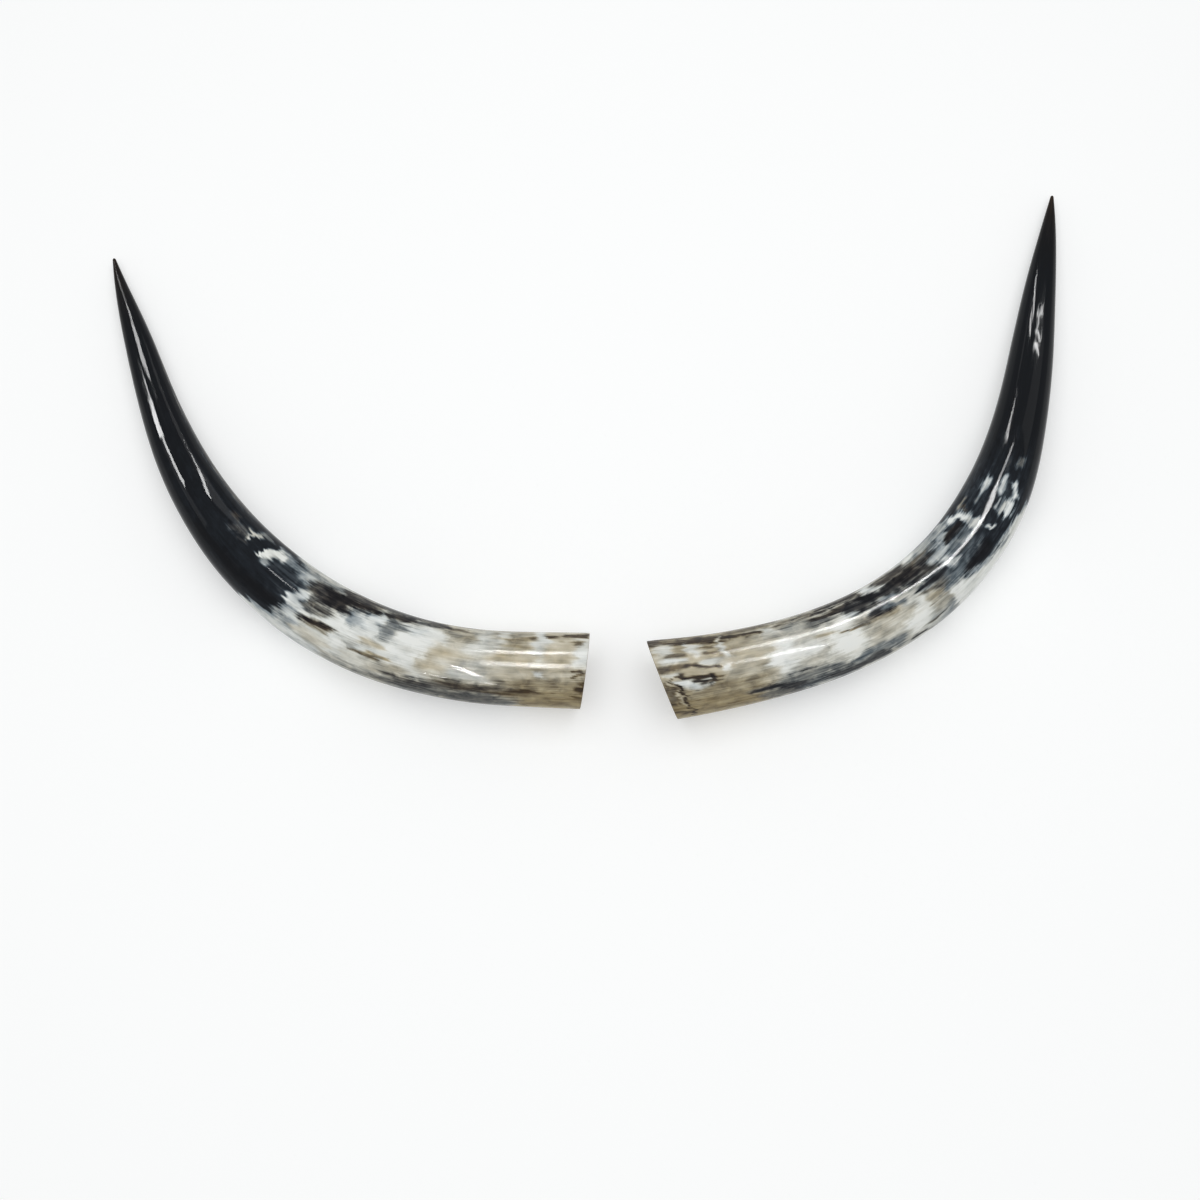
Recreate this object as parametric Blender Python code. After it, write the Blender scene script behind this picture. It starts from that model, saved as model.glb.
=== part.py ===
# A pair of polished cow horns, lying on a flat surface.
#
# Each horn is one piece: a sheath of horn, sawn off flat at its base, hollow for the first 0.285 m
# of its length, and solid from there to its pointed tip.
#
# The frame is in metres. +X runs along the pair, from the left horn's tip to the right horn's,
# +Y from the bases towards the tips, and +Z up. The origin is on the surface that the horns lie
# on, under the middle of the pair's box.

import math

import bmesh
import bpy
import numpy as np
from mathutils import Euler, Vector

# Driving dimensions that both horns share. Lengths are in metres, and a fraction is the
# distance along a horn's middle line from its base, over the length of that line.
DEPTH_OVER_WIDTH = 0.93    # a section is a little lower than it is wide
TIP_ROUNDING = 0.002       # length of the rounded end
TIP_FLAT = 0.0003          # width of the flat that ends the tip
BELLY_AT = 0.34            # fraction where the underside touches down between base and tip
TAIL_AT = 0.80             # fraction of the last touch before the raised tip
BELLY_ARCH = 0.0025        # gap under the horn between its base and its belly
TAIL_ARCH = 0.0045         # gap under the horn between its belly and its tail
WALL_AT_RIM = 0.0040       # thickness of the wall at the sawn rim
WALL_AT_END = 0.0090       # thickness of the wall at the end of the hollow
HOLLOW_ROUNDING = 0.045    # length of the hollow's blunt end
HOLLOW_LAST_BEND = 86.0    # degrees of the quarter turn that the blunt end is rounded through
SAW_ALLOWANCE = 0.040      # length modelled past the base, which the saw cut takes off
HOLLOW_OVERRUN = 0.060     # length that the hollow's cutter reaches past the base
SAW_BLOCK = 0.200          # side of the block that makes the saw cut

OUTER_SIDES = 28
HOLLOW_SIDES = 20
SHAFT_RINGS = 40
TIP_RINGS = 12
TIP_RINGS_FROM = 0.90      # fraction from which the rings stand closer together
HOLLOW_RINGS = 16
HOLLOW_END_RINGS = 6
LINE_STEPS = 4000          # short steps that the middle line is added up from
WELD_WITHIN = 1e-6
SHARP_FROM = 40.0          # degrees between two faces from which their edge stays sharp
POLISHED_ROUGHNESS = 0.14

# What is each horn's own. A heading is the direction of the middle line, in degrees from +X
# towards +Y. Headings and widths are given where they change, and run smoothly between.
LEFT = {
    "name": "left_horn",
    "length": 0.754,
    "base": (0.0004, -0.2425),
    "headings": [(0.0, 178.5), (0.09, 177.7), (0.187, 168.7), (0.333, 152.2), (0.524, 130.8),
                 (0.685, 116.6), (0.806, 110.2), (0.927, 110.1), (1.0, 106.5)],
    "widths": [(0.0, 0.0762), (0.20, 0.0730), (0.35, 0.0732), (0.47, 0.0682), (0.60, 0.0572),
               (0.75, 0.0415), (0.90, 0.0238), (0.96, 0.0120), (1.0, 0.0030)],
    "tip_rise": 0.009,
    "hollow_length": 0.285,
    "saw_turn": -5.0,      # turn of the cut from square, in degrees, seen from above
    "saw_lean": 4.0,       # degrees that the sawn face looks down
    "colour": (0.060, 0.058, 0.056),
}
RIGHT = {
    "name": "right_horn",
    "length": 0.772,
    "base": (0.0770, -0.2525),
    "headings": [(0.0, 7.5), (0.14, 14.2), (0.28, 27.8), (0.42, 47.3), (0.52, 62.0),
                 (0.62, 72.2), (0.74, 78.0), (0.92, 78.6), (1.0, 80.5)],
    "widths": [(0.0, 0.0808), (0.10, 0.0758), (0.25, 0.0730), (0.42, 0.0713), (0.52, 0.0676),
               (0.64, 0.0552), (0.78, 0.0422), (0.90, 0.0250), (0.96, 0.0128), (1.0, 0.0030)],
    "tip_rise": 0.009,
    "hollow_length": 0.285,
    "saw_turn": 13.0,
    "saw_lean": 8.0,
    "colour": (0.066, 0.062, 0.058),
}


def clear_scene():
    for obj in list(bpy.data.objects):
        bpy.data.objects.remove(obj, do_unlink=True)


def new_collection(name):
    collection = bpy.data.collections.new(name)
    bpy.context.scene.collection.children.link(collection)
    return collection


def smooth_through(stations, at):
    """Values at these fractions, on the cubic curve that runs smoothly through the stations."""
    x, y = np.array(stations, float).T
    gap = np.diff(x)
    rise = np.diff(y) / gap
    inner = (rise[:-1] * gap[1:] + rise[1:] * gap[:-1]) / (gap[1:] + gap[:-1])
    slope = np.concatenate([rise[:1], inner, rise[-1:]])
    k = np.clip(np.searchsorted(x, at, side="right") - 1, 0, len(x) - 2)
    t = np.clip((at - x[k]) / gap[k], 0.0, 1.0)
    return (
        (1 + 2 * t) * (1 - t) ** 2 * y[k]
        + t * (1 - t) ** 2 * gap[k] * slope[k]
        + t * t * (3 - 2 * t) * y[k + 1]
        + t * t * (t - 1) * gap[k] * slope[k + 1]
    )


def widths_at(horn, fraction):
    """Width across at these fractions, closing on an arc over the last few millimetres."""
    left = (1.0 - fraction) * horn["length"]
    arc = np.clip(1.0 - left / TIP_ROUNDING, 0.0, 1.0)
    return smooth_through(horn["widths"], fraction) * np.sqrt(1.0 - arc**2)


def clearance(horn, fraction):
    """Gap between the underside and the surface: none at base, belly and tail, and a rise at the tip."""
    first = BELLY_ARCH * np.sin(math.pi * np.clip(fraction / BELLY_AT, 0, 1)) ** 2
    along = np.clip((fraction - BELLY_AT) / (TAIL_AT - BELLY_AT), 0, 1)
    second = TAIL_ARCH * np.sin(math.pi * along) ** 2
    rise = horn["tip_rise"] * np.clip((fraction - TAIL_AT) / (1 - TAIL_AT), 0, 1) ** 2
    return first + second + rise


def middle_line(horn, fraction):
    """Points of the horn's middle line at these fractions. Below 0 it runs straight back from the base."""
    fine = np.linspace(0.0, 1.0, LINE_STEPS + 1)
    heading = np.radians(smooth_through(horn["headings"], fine))
    step = horn["length"] / LINE_STEPS
    run = []
    for start, part in zip(horn["base"], (np.cos(heading), np.sin(heading))):
        total = np.concatenate([[0.0], np.cumsum((part[1:] + part[:-1]) / 2)]) * step + start
        back = np.clip(fraction, None, 0.0) * horn["length"] * part[0]
        run.append(np.interp(fraction, fine, total) + back)
    half_depth = smooth_through(horn["widths"], np.clip(fraction, 0, 1)) * DEPTH_OVER_WIDTH / 2
    return np.stack([*run, half_depth + clearance(horn, fraction)], axis=1)


def oval_profile(name, sides, collection):
    """A closed outline one metre wide, which a curve is bevelled with."""
    turn = np.arange(sides) * 2 * math.pi / sides
    curve = bpy.data.curves.new(name, "CURVE")
    curve.dimensions = "2D"
    curve.fill_mode = "NONE"
    spline = curve.splines.new("POLY")
    spline.points.add(sides - 1)
    spline.use_cyclic_u = True
    for point, angle in zip(spline.points, turn):
        point.co = (0.5 * math.cos(angle), 0.5 * DEPTH_OVER_WIDTH * math.sin(angle), 0, 1)
    outline = bpy.data.objects.new(name, curve)
    outline.hide_render = True
    collection.objects.link(outline)
    return outline


def tapered_tube(name, points, widths, profile, collection):
    """A closed mesh that carries the oval profile along the points, upright, at these widths."""
    curve = bpy.data.curves.new(name, "CURVE")
    curve.dimensions = "3D"
    curve.twist_mode = "Z_UP"
    curve.bevel_mode = "OBJECT"
    curve.bevel_object = profile
    curve.use_fill_caps = True
    spline = curve.splines.new("POLY")
    spline.points.add(len(points) - 1)
    for point, place, width in zip(spline.points, points, widths):
        point.co = (*place, 1)
        point.radius = width
    path = bpy.data.objects.new(name + "_path", curve)
    collection.objects.link(path)

    bpy.context.view_layer.update()
    graph = bpy.context.evaluated_depsgraph_get()
    mesh = bpy.data.meshes.new_from_object(path.evaluated_get(graph))
    mesh.name = name
    tube = bpy.data.objects.new(name, mesh)
    tube.matrix_world = path.matrix_world
    collection.objects.link(tube)
    bpy.data.objects.remove(path, do_unlink=True)
    return tube


def weld_and_shade(tube):
    shape = bmesh.new()
    shape.from_mesh(tube.data)
    bmesh.ops.remove_doubles(shape, verts=shape.verts, dist=WELD_WITHIN)
    bmesh.ops.recalc_face_normals(shape, faces=shape.faces)
    shape.to_mesh(tube.data)
    shape.free()
    tube.data.shade_smooth()
    tube.data.set_sharp_from_angle(angle=math.radians(SHARP_FROM))


def horn_material(horn):
    material = bpy.data.materials.new(horn["name"] + "_polished")
    material.use_nodes = True
    shader = material.node_tree.nodes["Principled BSDF"]
    shader.inputs["Base Color"].default_value = (*horn["colour"], 1)
    shader.inputs["Roughness"].default_value = POLISHED_ROUGHNESS
    shader.inputs["Metallic"].default_value = 0.0
    return material


def outer_form(horn, profile, collection):
    shaft = np.linspace(-SAW_ALLOWANCE / horn["length"], TIP_RINGS_FROM, SHAFT_RINGS, endpoint=False)
    bend = np.linspace(0, math.pi / 2, TIP_RINGS)
    fraction = np.concatenate([shaft, TIP_RINGS_FROM + (1 - TIP_RINGS_FROM) * np.sin(bend)])
    widths = widths_at(horn, np.clip(fraction, 0, 1))
    widths[-1] = TIP_FLAT
    return tapered_tube(horn["name"], middle_line(horn, fraction), widths, profile, collection)


def hollow_form(horn, profile, cutters):
    """The space inside: the outer form less the wall, with a blunt end."""
    end = horn["hollow_length"]
    closes_from = end - HOLLOW_ROUNDING
    straight = np.linspace(-HOLLOW_OVERRUN, closes_from, HOLLOW_RINGS, endpoint=False)
    bend = np.linspace(0, math.radians(HOLLOW_LAST_BEND), HOLLOW_END_RINGS)
    along = np.concatenate([straight, closes_from + HOLLOW_ROUNDING * np.sin(bend)])
    closing = np.concatenate([np.ones(len(straight)), np.cos(bend)])
    fraction = along / horn["length"]
    wall = np.interp(along, [0.0, end], [WALL_AT_RIM, WALL_AT_END])
    widths = (widths_at(horn, np.clip(fraction, 0, 1)) - 2 * wall) * closing
    return tapered_tube(horn["name"] + "_hollow", middle_line(horn, fraction), widths, profile, cutters)


def saw_block(horn, cutters):
    """A block whose one face is the sawn end of the horn, across its middle line at the base."""
    bpy.ops.mesh.primitive_cube_add(size=SAW_BLOCK)
    block = bpy.context.active_object
    block.name = horn["name"] + "_saw_cut"
    for collection in list(block.users_collection):
        collection.objects.unlink(block)
    cutters.objects.link(block)
    turn = horn["headings"][0][1] + horn["saw_turn"]
    tilt = Euler((0, -math.radians(horn["saw_lean"]), math.radians(turn)))
    base = middle_line(horn, np.array([0.0]))[0]
    block.rotation_euler = tilt
    block.location = Vector(base) - tilt.to_matrix() @ Vector((SAW_BLOCK / 2, 0, 0))
    return block


def cut(target, cutter, name):
    cutter.hide_render = True
    cutter.display_type = "WIRE"
    boolean = target.modifiers.new(name, "BOOLEAN")
    boolean.operation = "DIFFERENCE"
    boolean.object = cutter


def make_horn(horn, profiles, horns, cutters):
    outer_profile, hollow_profile = profiles
    body = outer_form(horn, outer_profile, horns)
    weld_and_shade(body)
    hollow = hollow_form(horn, hollow_profile, cutters)
    weld_and_shade(hollow)
    cut(body, hollow, "hollow")
    cut(body, saw_block(horn, cutters), "saw cut")
    body.data.materials.clear()
    body.data.materials.append(horn_material(horn))


def main():
    clear_scene()
    horns = new_collection("pair_of_cow_horns")
    cutters = new_collection("cutters")
    profiles = (
        oval_profile("outer_section", OUTER_SIDES, cutters),
        oval_profile("hollow_section", HOLLOW_SIDES, cutters),
    )
    for horn in (LEFT, RIGHT):
        make_horn(horn, profiles, horns, cutters)
    for profile in profiles:
        bpy.data.objects.remove(profile, do_unlink=True)


main()
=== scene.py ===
# Looks of a pair of polished cow horns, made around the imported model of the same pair.
# Lengths are in metres. A fraction is the way along a horn's middle line, 0 at the base, 1 at the tip.
import math

import bpy
import numpy as np
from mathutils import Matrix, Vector


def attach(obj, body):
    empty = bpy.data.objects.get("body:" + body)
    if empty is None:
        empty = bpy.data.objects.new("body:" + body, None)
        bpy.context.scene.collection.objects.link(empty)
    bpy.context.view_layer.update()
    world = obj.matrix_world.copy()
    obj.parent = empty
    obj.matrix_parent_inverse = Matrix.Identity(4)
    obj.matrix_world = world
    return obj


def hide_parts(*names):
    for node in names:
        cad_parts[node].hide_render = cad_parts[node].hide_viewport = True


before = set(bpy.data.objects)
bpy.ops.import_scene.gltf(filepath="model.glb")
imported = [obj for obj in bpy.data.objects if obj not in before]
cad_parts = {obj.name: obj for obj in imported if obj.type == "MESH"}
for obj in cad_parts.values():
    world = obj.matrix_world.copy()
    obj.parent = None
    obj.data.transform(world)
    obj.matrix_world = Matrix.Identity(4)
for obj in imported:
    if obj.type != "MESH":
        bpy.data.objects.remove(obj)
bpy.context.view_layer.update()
print("frame loaded")

studio = {
    "seenFrom": (0.0155, -0.6198, 1.7150),   # the camera, which also lays out the horns' markings
    "lookTilt": 15.0,                        # degrees that the camera leans off straight down
    "lens": 52.08,
    "sensor": 36.0,
    "floorSize": 9.0,
    "floorColour": (222, 223, 223),
    "floorRoughness": 0.9,
    "floorGlow": 0.45,                       # the floor's own faint light, which keeps shadows pale
    "skyForFloor": 0.45,                     # plain light from all round, for matt surfaces
    "skyForGloss": 0.12,                     # and what a polished surface mirrors where no lamp is
    "horizonForGloss": 0.38,                 # the same at the horizon
    "horizonTop": 0.42,                      # sine of the height at which it has faded to skyForGloss
    "skyForCamera": 0.95,                    # the backdrop past the floor
    "overheadGlow": 1.36,                    # the soft square lamp over everything
    "overheadSize": 3.2,
    "overheadHeight": 2.6,
}

# Both horns are made to these.
hornForm = {
    "depthOverWidth": 0.93,   # a section is a little lower than it is wide
    "tipRounding": 0.002,     # length of the rounded end
    "bellyAt": 0.34,          # fraction where the underside touches down between base and tip
    "tailAt": 0.80,           # fraction of the last touch before the raised tip
    "bellyArch": 0.0025,      # gap under the horn between its base and its belly
    "tailArch": 0.0045,       # gap under the horn between its belly and its tail
    "wallAtRim": 0.0040,
    "wallAtEnd": 0.0090,
    "hollowRounding": 0.045,  # length of the hollow's blunt end
    "rimEdge": 0.0007,        # radius of the sawn rim's two edges
    "lineSteps": 4000,        # short steps that the middle line is added up from
    "startReach": 0.06,       # how far to both sides of the base the saw's plane is looked for
    "startSteps": 241,
    "around": 160,            # points round a section
    "outerRows": 400,
    "tipFrom": 0.985,         # part of the outside's length from which its rows close up
    "tipRows": 20,
    "hollowRows": 80,
    "hollowEndRows": 24,
    "rimRows": 7,
    "edgeRows": 5,
    "slopeStep": 0.0001,      # how far apart the surface is tried for its slope, along and round it
    "grainRadius": 0.036,     # radius of the straight rod that the grain is laid out on
    "grainInset": 0.12,       # how much nearer its middle the hollow's grain lies
}


def srgb(red, green, blue):
    # A screen colour of 0 to 255 as the linear colour that shaders take.
    parts = []
    for value in (red, green, blue):
        c = value / 255.0
        parts.append(c / 12.92 if c <= 0.04045 else ((c + 0.055) / 1.055) ** 2.4)
    return (*parts, 1.0)


def smoothThrough(stations, at):
    # Value at each place on the cubic curve that passes smoothly through the stations.
    x, y = np.array(stations, float).T
    gap = np.diff(x)
    rise = np.diff(y) / gap
    inner = (rise[:-1] * gap[1:] + rise[1:] * gap[:-1]) / (gap[1:] + gap[:-1])
    slope = np.concatenate([rise[:1], inner, rise[-1:]])
    k = np.clip(np.searchsorted(x, at, side="right") - 1, 0, len(x) - 2)
    t = np.clip((at - x[k]) / gap[k], 0.0, 1.0)
    start = (1 + 2 * t) * (1 - t) ** 2 * y[k] + t * (1 - t) ** 2 * gap[k] * slope[k]
    return start + t * t * (3 - 2 * t) * y[k + 1] + t * t * (t - 1) * gap[k] * slope[k + 1]


def smoothStep(low, high, value):
    # 0 below low, 1 above high, and a smooth S between.
    t = np.clip((value - low) / (high - low), 0.0, 1.0)
    return t * t * (3 - 2 * t)


def waves(points, lengths, seed, count=9):
    # Smooth random relief of about -1 to 1: a sum of plane waves, each of its own direction and phase.
    # lengths are the wavelengths along the three axes of the grain.
    rng = np.random.default_rng(seed)
    scaled = points / np.array(lengths)
    total = 0.0
    for _ in range(count):
        direction = rng.normal(size=3)
        direction *= rng.uniform(0.7, 1.4) * 2 * math.pi / np.linalg.norm(direction)
        total = total + np.sin(scaled @ direction + rng.uniform(0, 2 * math.pi))
    return total / math.sqrt(count)


# Each horn's own shape. A heading is in degrees from +X towards +Y. These are the solids' dimensions.
leftHorn = {
    "name": "left_horn",
    "length": 0.754,
    "base": (0.0004, -0.2425),
    "headings": [(0.0, 178.5), (0.09, 177.7), (0.187, 168.7), (0.333, 152.2), (0.524, 130.8),
                 (0.685, 116.6), (0.806, 110.2), (0.927, 110.1), (1.0, 106.5)],
    "widths": [(0.0, 0.0762), (0.20, 0.0730), (0.35, 0.0732), (0.47, 0.0682), (0.60, 0.0572),
               (0.75, 0.0415), (0.90, 0.0238), (0.96, 0.0120), (1.0, 0.0030)],
    "tipRise": 0.009,
    "hollowLength": 0.285,
    "sawTurn": -5.0,
    "sawLean": 4.0,
    "outerSide": 1.0,         # +1 where the outside of the bend is on the left of the heading
    "seed": 11,
    "waviness": 0.00010,
    "ripple": [(0, 0.0), (0.5, 0.000004), (0.6, 0.000012), (0.72, 0.000035), (0.85, 0.000025), (1, 0.0)],
    "ridgeHeight": 0.00001,
    "ridgeSpacing": 0.0115,
    "ridgesEnd": 0.16,
    "groove": None,
}
rightHorn = {
    "name": "right_horn",
    "length": 0.772,
    "base": (0.0770, -0.2525),
    "headings": [(0.0, 7.5), (0.14, 14.2), (0.28, 27.8), (0.42, 47.3), (0.52, 62.0),
                 (0.62, 72.2), (0.74, 78.0), (0.92, 78.6), (1.0, 80.5)],
    "widths": [(0.0, 0.0808), (0.10, 0.0758), (0.25, 0.0730), (0.42, 0.0713), (0.52, 0.0676),
               (0.64, 0.0552), (0.78, 0.0422), (0.90, 0.0250), (0.96, 0.0128), (1.0, 0.0030)],
    "tipRise": 0.009,
    "hollowLength": 0.285,
    "sawTurn": 13.0,
    "sawLean": 8.0,
    "outerSide": -1.0,
    "seed": 47,
    "waviness": 0.00010,
    "ripple": [(0, 0.0), (0.4, 0.00001), (0.5, 0.00001), (0.6, 0.000006), (0.8, 0.000012), (1, 0.0)],
    "ridgeHeight": 0.00004,
    "ridgeSpacing": 0.0100,
    "ridgesEnd": 0.13,
    # an oblique groove across the base: (fraction, place across) along it, its depth and half width
    "groove": ([(0.009, -0.05), (0.013, 0.15), (0.018, 0.35), (0.025, 0.6), (0.033, 0.9)], 0.0005, 0.0016),
}
# How the surface wanders off the plain section. The lengths are those of its waves, along and across.
surfaceWaves = {
    "slowLengths": (0.085, 0.050, 0.050),
    "slowFade": [(0, 1), (0.5, 0.9), (0.9, 0.3), (1, 0.0)],
    "rippleLengths": (0.016, 0.022, 0.022),
    "ringWarpLengths": (0.050, 0.045, 0.045),
    "ringWarp": 0.35,             # how far the growth rings wander, in ring spacings
    "ringFadeFrom": 0.35,         # part of the ringed stretch at full height
    "grooveEnds": (-0.15, 0.1),   # places across between which the groove sets in
    "grooveDown": -0.2,           # cosine of the angle round the section at which the groove stops
}


def unit(vectors):
    # Each vector over its own length.
    return vectors / np.linalg.norm(vectors, axis=-1, keepdims=True)


def widthsAt(horn, f):
    # Width across, closing on an arc over the last few millimetres.
    left = (1.0 - f) * horn["length"]
    arc = np.clip(1.0 - left / hornForm["tipRounding"], 0.0, 1.0)
    return smoothThrough(horn["widths"], np.clip(f, 0, 1)) * np.sqrt(1.0 - arc**2)


def middleLine(horn, f):
    # Places and headings along the middle line: the headings added up in short steps. The height is
    # half the section's depth plus the gap under the horn, which touches down at base, belly and tail.
    fine = np.linspace(0.0, 1.0, hornForm["lineSteps"] + 1)
    turn = np.radians(smoothThrough(horn["headings"], fine))
    step = horn["length"] / hornForm["lineSteps"]
    places = []
    for start, part in zip(horn["base"], (np.cos(turn), np.sin(turn))):
        total = np.concatenate([[0.0], np.cumsum((part[1:] + part[:-1]) / 2)]) * step + start
        places.append(np.interp(f, fine, total) + np.clip(f, None, 0.0) * horn["length"] * part[0])
    inside = np.clip(f, 0, 1)
    first = hornForm["bellyArch"] * np.sin(math.pi * np.clip(f / hornForm["bellyAt"], 0, 1)) ** 2
    along = np.clip((f - hornForm["bellyAt"]) / (hornForm["tailAt"] - hornForm["bellyAt"]), 0, 1)
    second = hornForm["tailArch"] * np.sin(math.pi * along) ** 2
    rise = horn["tipRise"] * np.clip((f - hornForm["tailAt"]) / (1 - hornForm["tailAt"]), 0, 1) ** 2
    depth = smoothThrough(horn["widths"], inside) * hornForm["depthOverWidth"]
    return np.stack([*places, depth / 2 + first + second + rise], axis=-1), np.interp(f, fine, turn)


def leanToEye(horn, f):
    # The angle round the section at which it faces the camera.
    centre, heading = middleLine(horn, f)
    outward = np.stack([-np.sin(heading), np.cos(heading), 0 * heading], -1) * horn["outerSide"]
    toEye = unit(np.array(studio["seenFrom"]) - centre)
    return np.arctan2((toEye * outward).sum(-1), toEye[..., 2])


def placeAcross(horn, f, turn):
    # Where a surface point lies across the horn as the camera sees it: the sine of its angle from
    # there, from -1 at the edge inside the bend to +1 at the edge outside it.
    return np.sin(turn - leanToEye(horn, f))


def grainOf(horn, f, turn, radius):
    # The horn laid out as a straight round rod: how far along in metres, and a circle across.
    return np.stack([f * horn["length"] + 0 * turn, radius * np.cos(turn) + 0 * f,
                     radius * np.sin(turn) + 0 * f], -1)


def reliefOf(horn, f, turn):
    # Hand polishing leaves slow waves, the base keeps faint rings of growth, and a groove crosses it.
    grain = grainOf(horn, f, turn, hornForm["grainRadius"])
    seed = horn["seed"]
    slow = waves(grain, surfaceWaves["slowLengths"], seed) * horn["waviness"]
    warp = waves(grain, surfaceWaves["ringWarpLengths"], seed + 1) * surfaceWaves["ringWarp"]
    inside = np.clip(f, 0, 1)
    ripple = waves(grain, surfaceWaves["rippleLengths"], seed + 2) * smoothThrough(horn["ripple"], inside)
    fade = 1.0 - smoothStep(horn["ridgesEnd"] * surfaceWaves["ringFadeFrom"], horn["ridgesEnd"], f)
    ridges = np.sin(2 * math.pi * (grain[..., 0] / horn["ridgeSpacing"] + warp)) * horn["ridgeHeight"] * fade
    relief = slow * smoothThrough(surfaceWaves["slowFade"], inside) + ridges + ripple
    if horn["groove"]:
        line, depth, halfWidth = horn["groove"]
        places, across = np.array(line).T
        v = placeAcross(horn, f, turn)
        away = (f - np.interp(v, across, places)) * horn["length"] / halfWidth
        ends = smoothStep(*surfaceWaves["grooveEnds"], v) * (np.cos(turn) > surfaceWaves["grooveDown"])
        relief = relief - depth * np.exp(-away**2) * ends
    return relief


def outerPoint(horn, f, turn):
    # An oval section, square to the middle line and upright, at each fraction and angle round it.
    centre, heading = middleLine(horn, f)
    outward = np.stack([-np.sin(heading), np.cos(heading), 0 * heading], -1) * horn["outerSide"]
    up = np.array([0.0, 0.0, hornForm["depthOverWidth"]])
    radius = widthsAt(horn, f) / 2 + reliefOf(horn, f, turn)
    radius = np.where(f >= 1.0, 0.0, radius)
    return centre + (outward * np.sin(turn)[..., None] + up * np.cos(turn)[..., None]) * radius[..., None]


def hollowPoint(horn, f, turn):
    # The same section less the wall, closing to a blunt end over the last stretch of the hollow.
    centre, heading = middleLine(horn, f)
    outward = np.stack([-np.sin(heading), np.cos(heading), 0 * heading], -1) * horn["outerSide"]
    up = np.array([0.0, 0.0, hornForm["depthOverWidth"]])
    along = f * horn["length"]
    end = horn["hollowLength"]
    wall = np.interp(along, [0.0, end], [hornForm["wallAtRim"], hornForm["wallAtEnd"]])
    last = np.clip((along - end + hornForm["hollowRounding"]) / hornForm["hollowRounding"], 0, 1)
    radius = (widthsAt(horn, f) / 2 - wall) * np.sqrt(1 - last**2)
    return centre + (outward * np.sin(turn)[..., None] + up * np.cos(turn)[..., None]) * radius[..., None]


def sawDirection(horn):
    # The direction square to the sawn face, pointing into the horn.
    turn = math.radians(horn["headings"][0][1] + horn["sawTurn"])
    lean = math.radians(horn["sawLean"])
    return np.array([math.cos(lean) * math.cos(turn), math.cos(lean) * math.sin(turn), math.sin(lean)])


def startFractions(horn, shape, turns):
    # The fraction at which each lengthwise line of the shape meets the saw's plane.
    fine = np.linspace(-hornForm["startReach"], hornForm["startReach"], hornForm["startSteps"])
    f, turn = np.meshgrid(fine, turns, indexing="ij")
    base = middleLine(horn, np.array([0.0]))[0][0]
    ahead = (shape(horn, f, turn) - base) @ sawDirection(horn)
    return np.array([np.interp(0.0, ahead[:, k], fine) for k in range(len(turns))])


def roundedEdge(edge, alongWall, alongFace, radius, angles):
    # Rings of a quarter round between the wall and the sawn face: the corner point, set in by the
    # radius both ways, less the radius turned from one to the other.
    middle = edge + radius * (alongWall + alongFace)
    c, s = np.cos(angles)[:, None, None], np.sin(angles)[:, None, None]
    return middle - radius * (c * alongFace + s * alongWall)


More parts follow.
